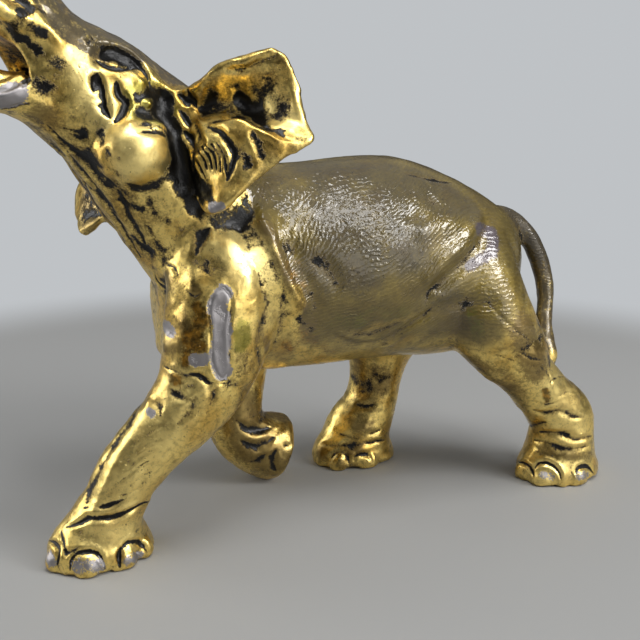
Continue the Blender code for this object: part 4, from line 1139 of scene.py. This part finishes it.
patchy = fade(noise(4.5, 3.0, 0.6), 0.38, 0.62)
ripple_relief = calc("MULTIPLY_ADD", patchy, RIPPLE_RELIEF, RIPPLE_RELIEF_LEAST)
height = calc("MULTIPLY", calc("MULTIPLY", crest, ripple), ripple_relief)
crust = calc("MULTIPLY", black, calc("ADD", coarse, fine))
for relief, depth in ((swirl, SWIRL_RELIEF), (noise(2.4, 4.0, 0.55), PIT_RELIEF), (fine, GRAIN_RELIEF),
                      (crust, CRUST_RELIEF), (bare, -BARE_SINK)):
    height = calc("MULTIPLY_ADD", relief, depth, height)
bump = tree.nodes.new("ShaderNodeBump")
bump.inputs["Strength"].default_value = 1.0
bump.inputs["Distance"].default_value = MM
tree.links.new(height, bump.inputs["Height"])
tree.links.new(bump.outputs["Normal"], shader.inputs["Normal"])
tree.links.new(bump.outputs["Normal"], shader.inputs["Coat Normal"])
casting.data.materials.clear()
casting.data.materials.append(finish)

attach(casting, "root")
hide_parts("elephant")

# The table and the light
# A plain grey table that runs into a pale wall. A ceiling lamp, two windows at the viewer's right,
# a wide one at the left and a low glow in front light the figure.
bpy.context.scene.view_settings.view_transform = "Standard"
TABLE_SIZE = 4.0
TABLE_GREY = (0.27, 0.27, 0.265)
WALL_GREY = (0.52, 0.54, 0.56)
WALL_START = 0.24
WALL_END = 0.34
ROOM_FLOOR = (0.035, 0.034, 0.032)
ROOM_CEILING = (0.42, 0.43, 0.44)
LAMPS = (
    ("right_window", 45, 27, 1.0, 0.30, 0.34, 16.0),
    ("left_window", -112, 18, 0.9, 0.8, 0.5, 3.2),
    ("tall_window", 25, 38, 1.0, 0.16, 0.75, 6.5),
    ("front_glow", 30, 6, 1.0, 0.9, 0.4, 1.5),
    ("ceiling_lamp", 0, 75, 1.0, 0.42, 0.42, 11.0),
)

table_mesh = bmesh.new()
bmesh.ops.create_grid(table_mesh, x_segments=1, y_segments=1, size=TABLE_SIZE)
table_data = bpy.data.meshes.new("table")
table_mesh.to_mesh(table_data)
table_mesh.free()
table = bpy.data.objects.new("table", table_data)
bpy.context.scene.collection.objects.link(table)
table_paint = bpy.data.materials.new("table_paint")
table_paint.use_nodes = True
tree = table_paint.node_tree
shader = tree.nodes["Principled BSDF"]
place = tree.nodes.new("ShaderNodeTexCoord")
shader.inputs["Base Color"].default_value = (*TABLE_GREY, 1.0)
shader.inputs["Roughness"].default_value = 0.65
distance = tree.nodes.new("ShaderNodeVectorMath")
distance.operation = "LENGTH"
tree.links.new(place.outputs["Object"], distance.inputs[0])
wall_glow = tree.nodes.new("ShaderNodeEmission")
wall_glow.inputs["Color"].default_value = (*WALL_GREY, 1.0)
path = tree.nodes.new("ShaderNodeLightPath")
wall_share = fade(distance.outputs["Value"], WALL_START, WALL_END)
wall_share = calc("MULTIPLY", wall_share, path.outputs["Is Camera Ray"])
joining = tree.nodes.new("ShaderNodeMixShader")
tree.links.new(wall_share, joining.inputs["Fac"])
tree.links.new(shader.outputs["BSDF"], joining.inputs[1])
tree.links.new(wall_glow.outputs["Emission"], joining.inputs[2])
tree.links.new(joining.outputs["Shader"], tree.nodes["Material Output"].inputs["Surface"])
table_data.materials.append(table_paint)

# The room is dim, apart from the pale wall that stands behind the figure
room = bpy.data.worlds.new("room")
bpy.context.scene.world = room
room.use_nodes = True
tree = room.node_tree
wall = tree.nodes["Background"]
wall.inputs["Color"].default_value = (*WALL_GREY, 1.0)
dim = tree.nodes.new("ShaderNodeBackground")
direction = tree.nodes.new("ShaderNodeTexCoord")
parts = tree.nodes.new("ShaderNodeSeparateXYZ")
tree.links.new(direction.outputs["Generated"], parts.inputs["Vector"])
rise = fade(parts.outputs["Z"], 0.0, 1.0)
tree.links.new(mixed(rise, ROOM_FLOOR, ROOM_CEILING), dim.inputs["Color"])
path = tree.nodes.new("ShaderNodeLightPath")
choice = tree.nodes.new("ShaderNodeMixShader")
tree.links.new(path.outputs["Is Camera Ray"], choice.inputs["Fac"])
tree.links.new(dim.outputs["Background"], choice.inputs[1])
tree.links.new(wall.outputs["Background"], choice.inputs[2])
tree.links.new(choice.outputs["Shader"], tree.nodes["World Output"].inputs["Surface"])


def soft_lamp(name, turn, rise, away, width, height, glow):
    """A soft lamp of the given brightness, seen from the figure at that turn from the viewer's
    side towards the tail and that rise, in degrees, and that far away, in metres."""
    turn = math.radians(turn)
    rise = math.radians(rise)
    lamp = bpy.data.lights.new(name, "AREA")
    lamp.shape = "RECTANGLE"
    lamp.size = width
    lamp.size_y = height
    lamp.energy = glow * math.pi * width * height
    item = bpy.data.objects.new(name, lamp)
    way = Vector((math.sin(turn) * math.cos(rise), -math.cos(turn) * math.cos(rise), math.sin(rise)))
    item.location = MODEL_ORIGIN + Vector((0, 0, 80)) * MM + way * away
    item.rotation_euler = (-way).to_track_quat("-Z", "Y").to_euler()
    bpy.context.scene.collection.objects.link(item)


for lamp_row in LAMPS:
    soft_lamp(*lamp_row)
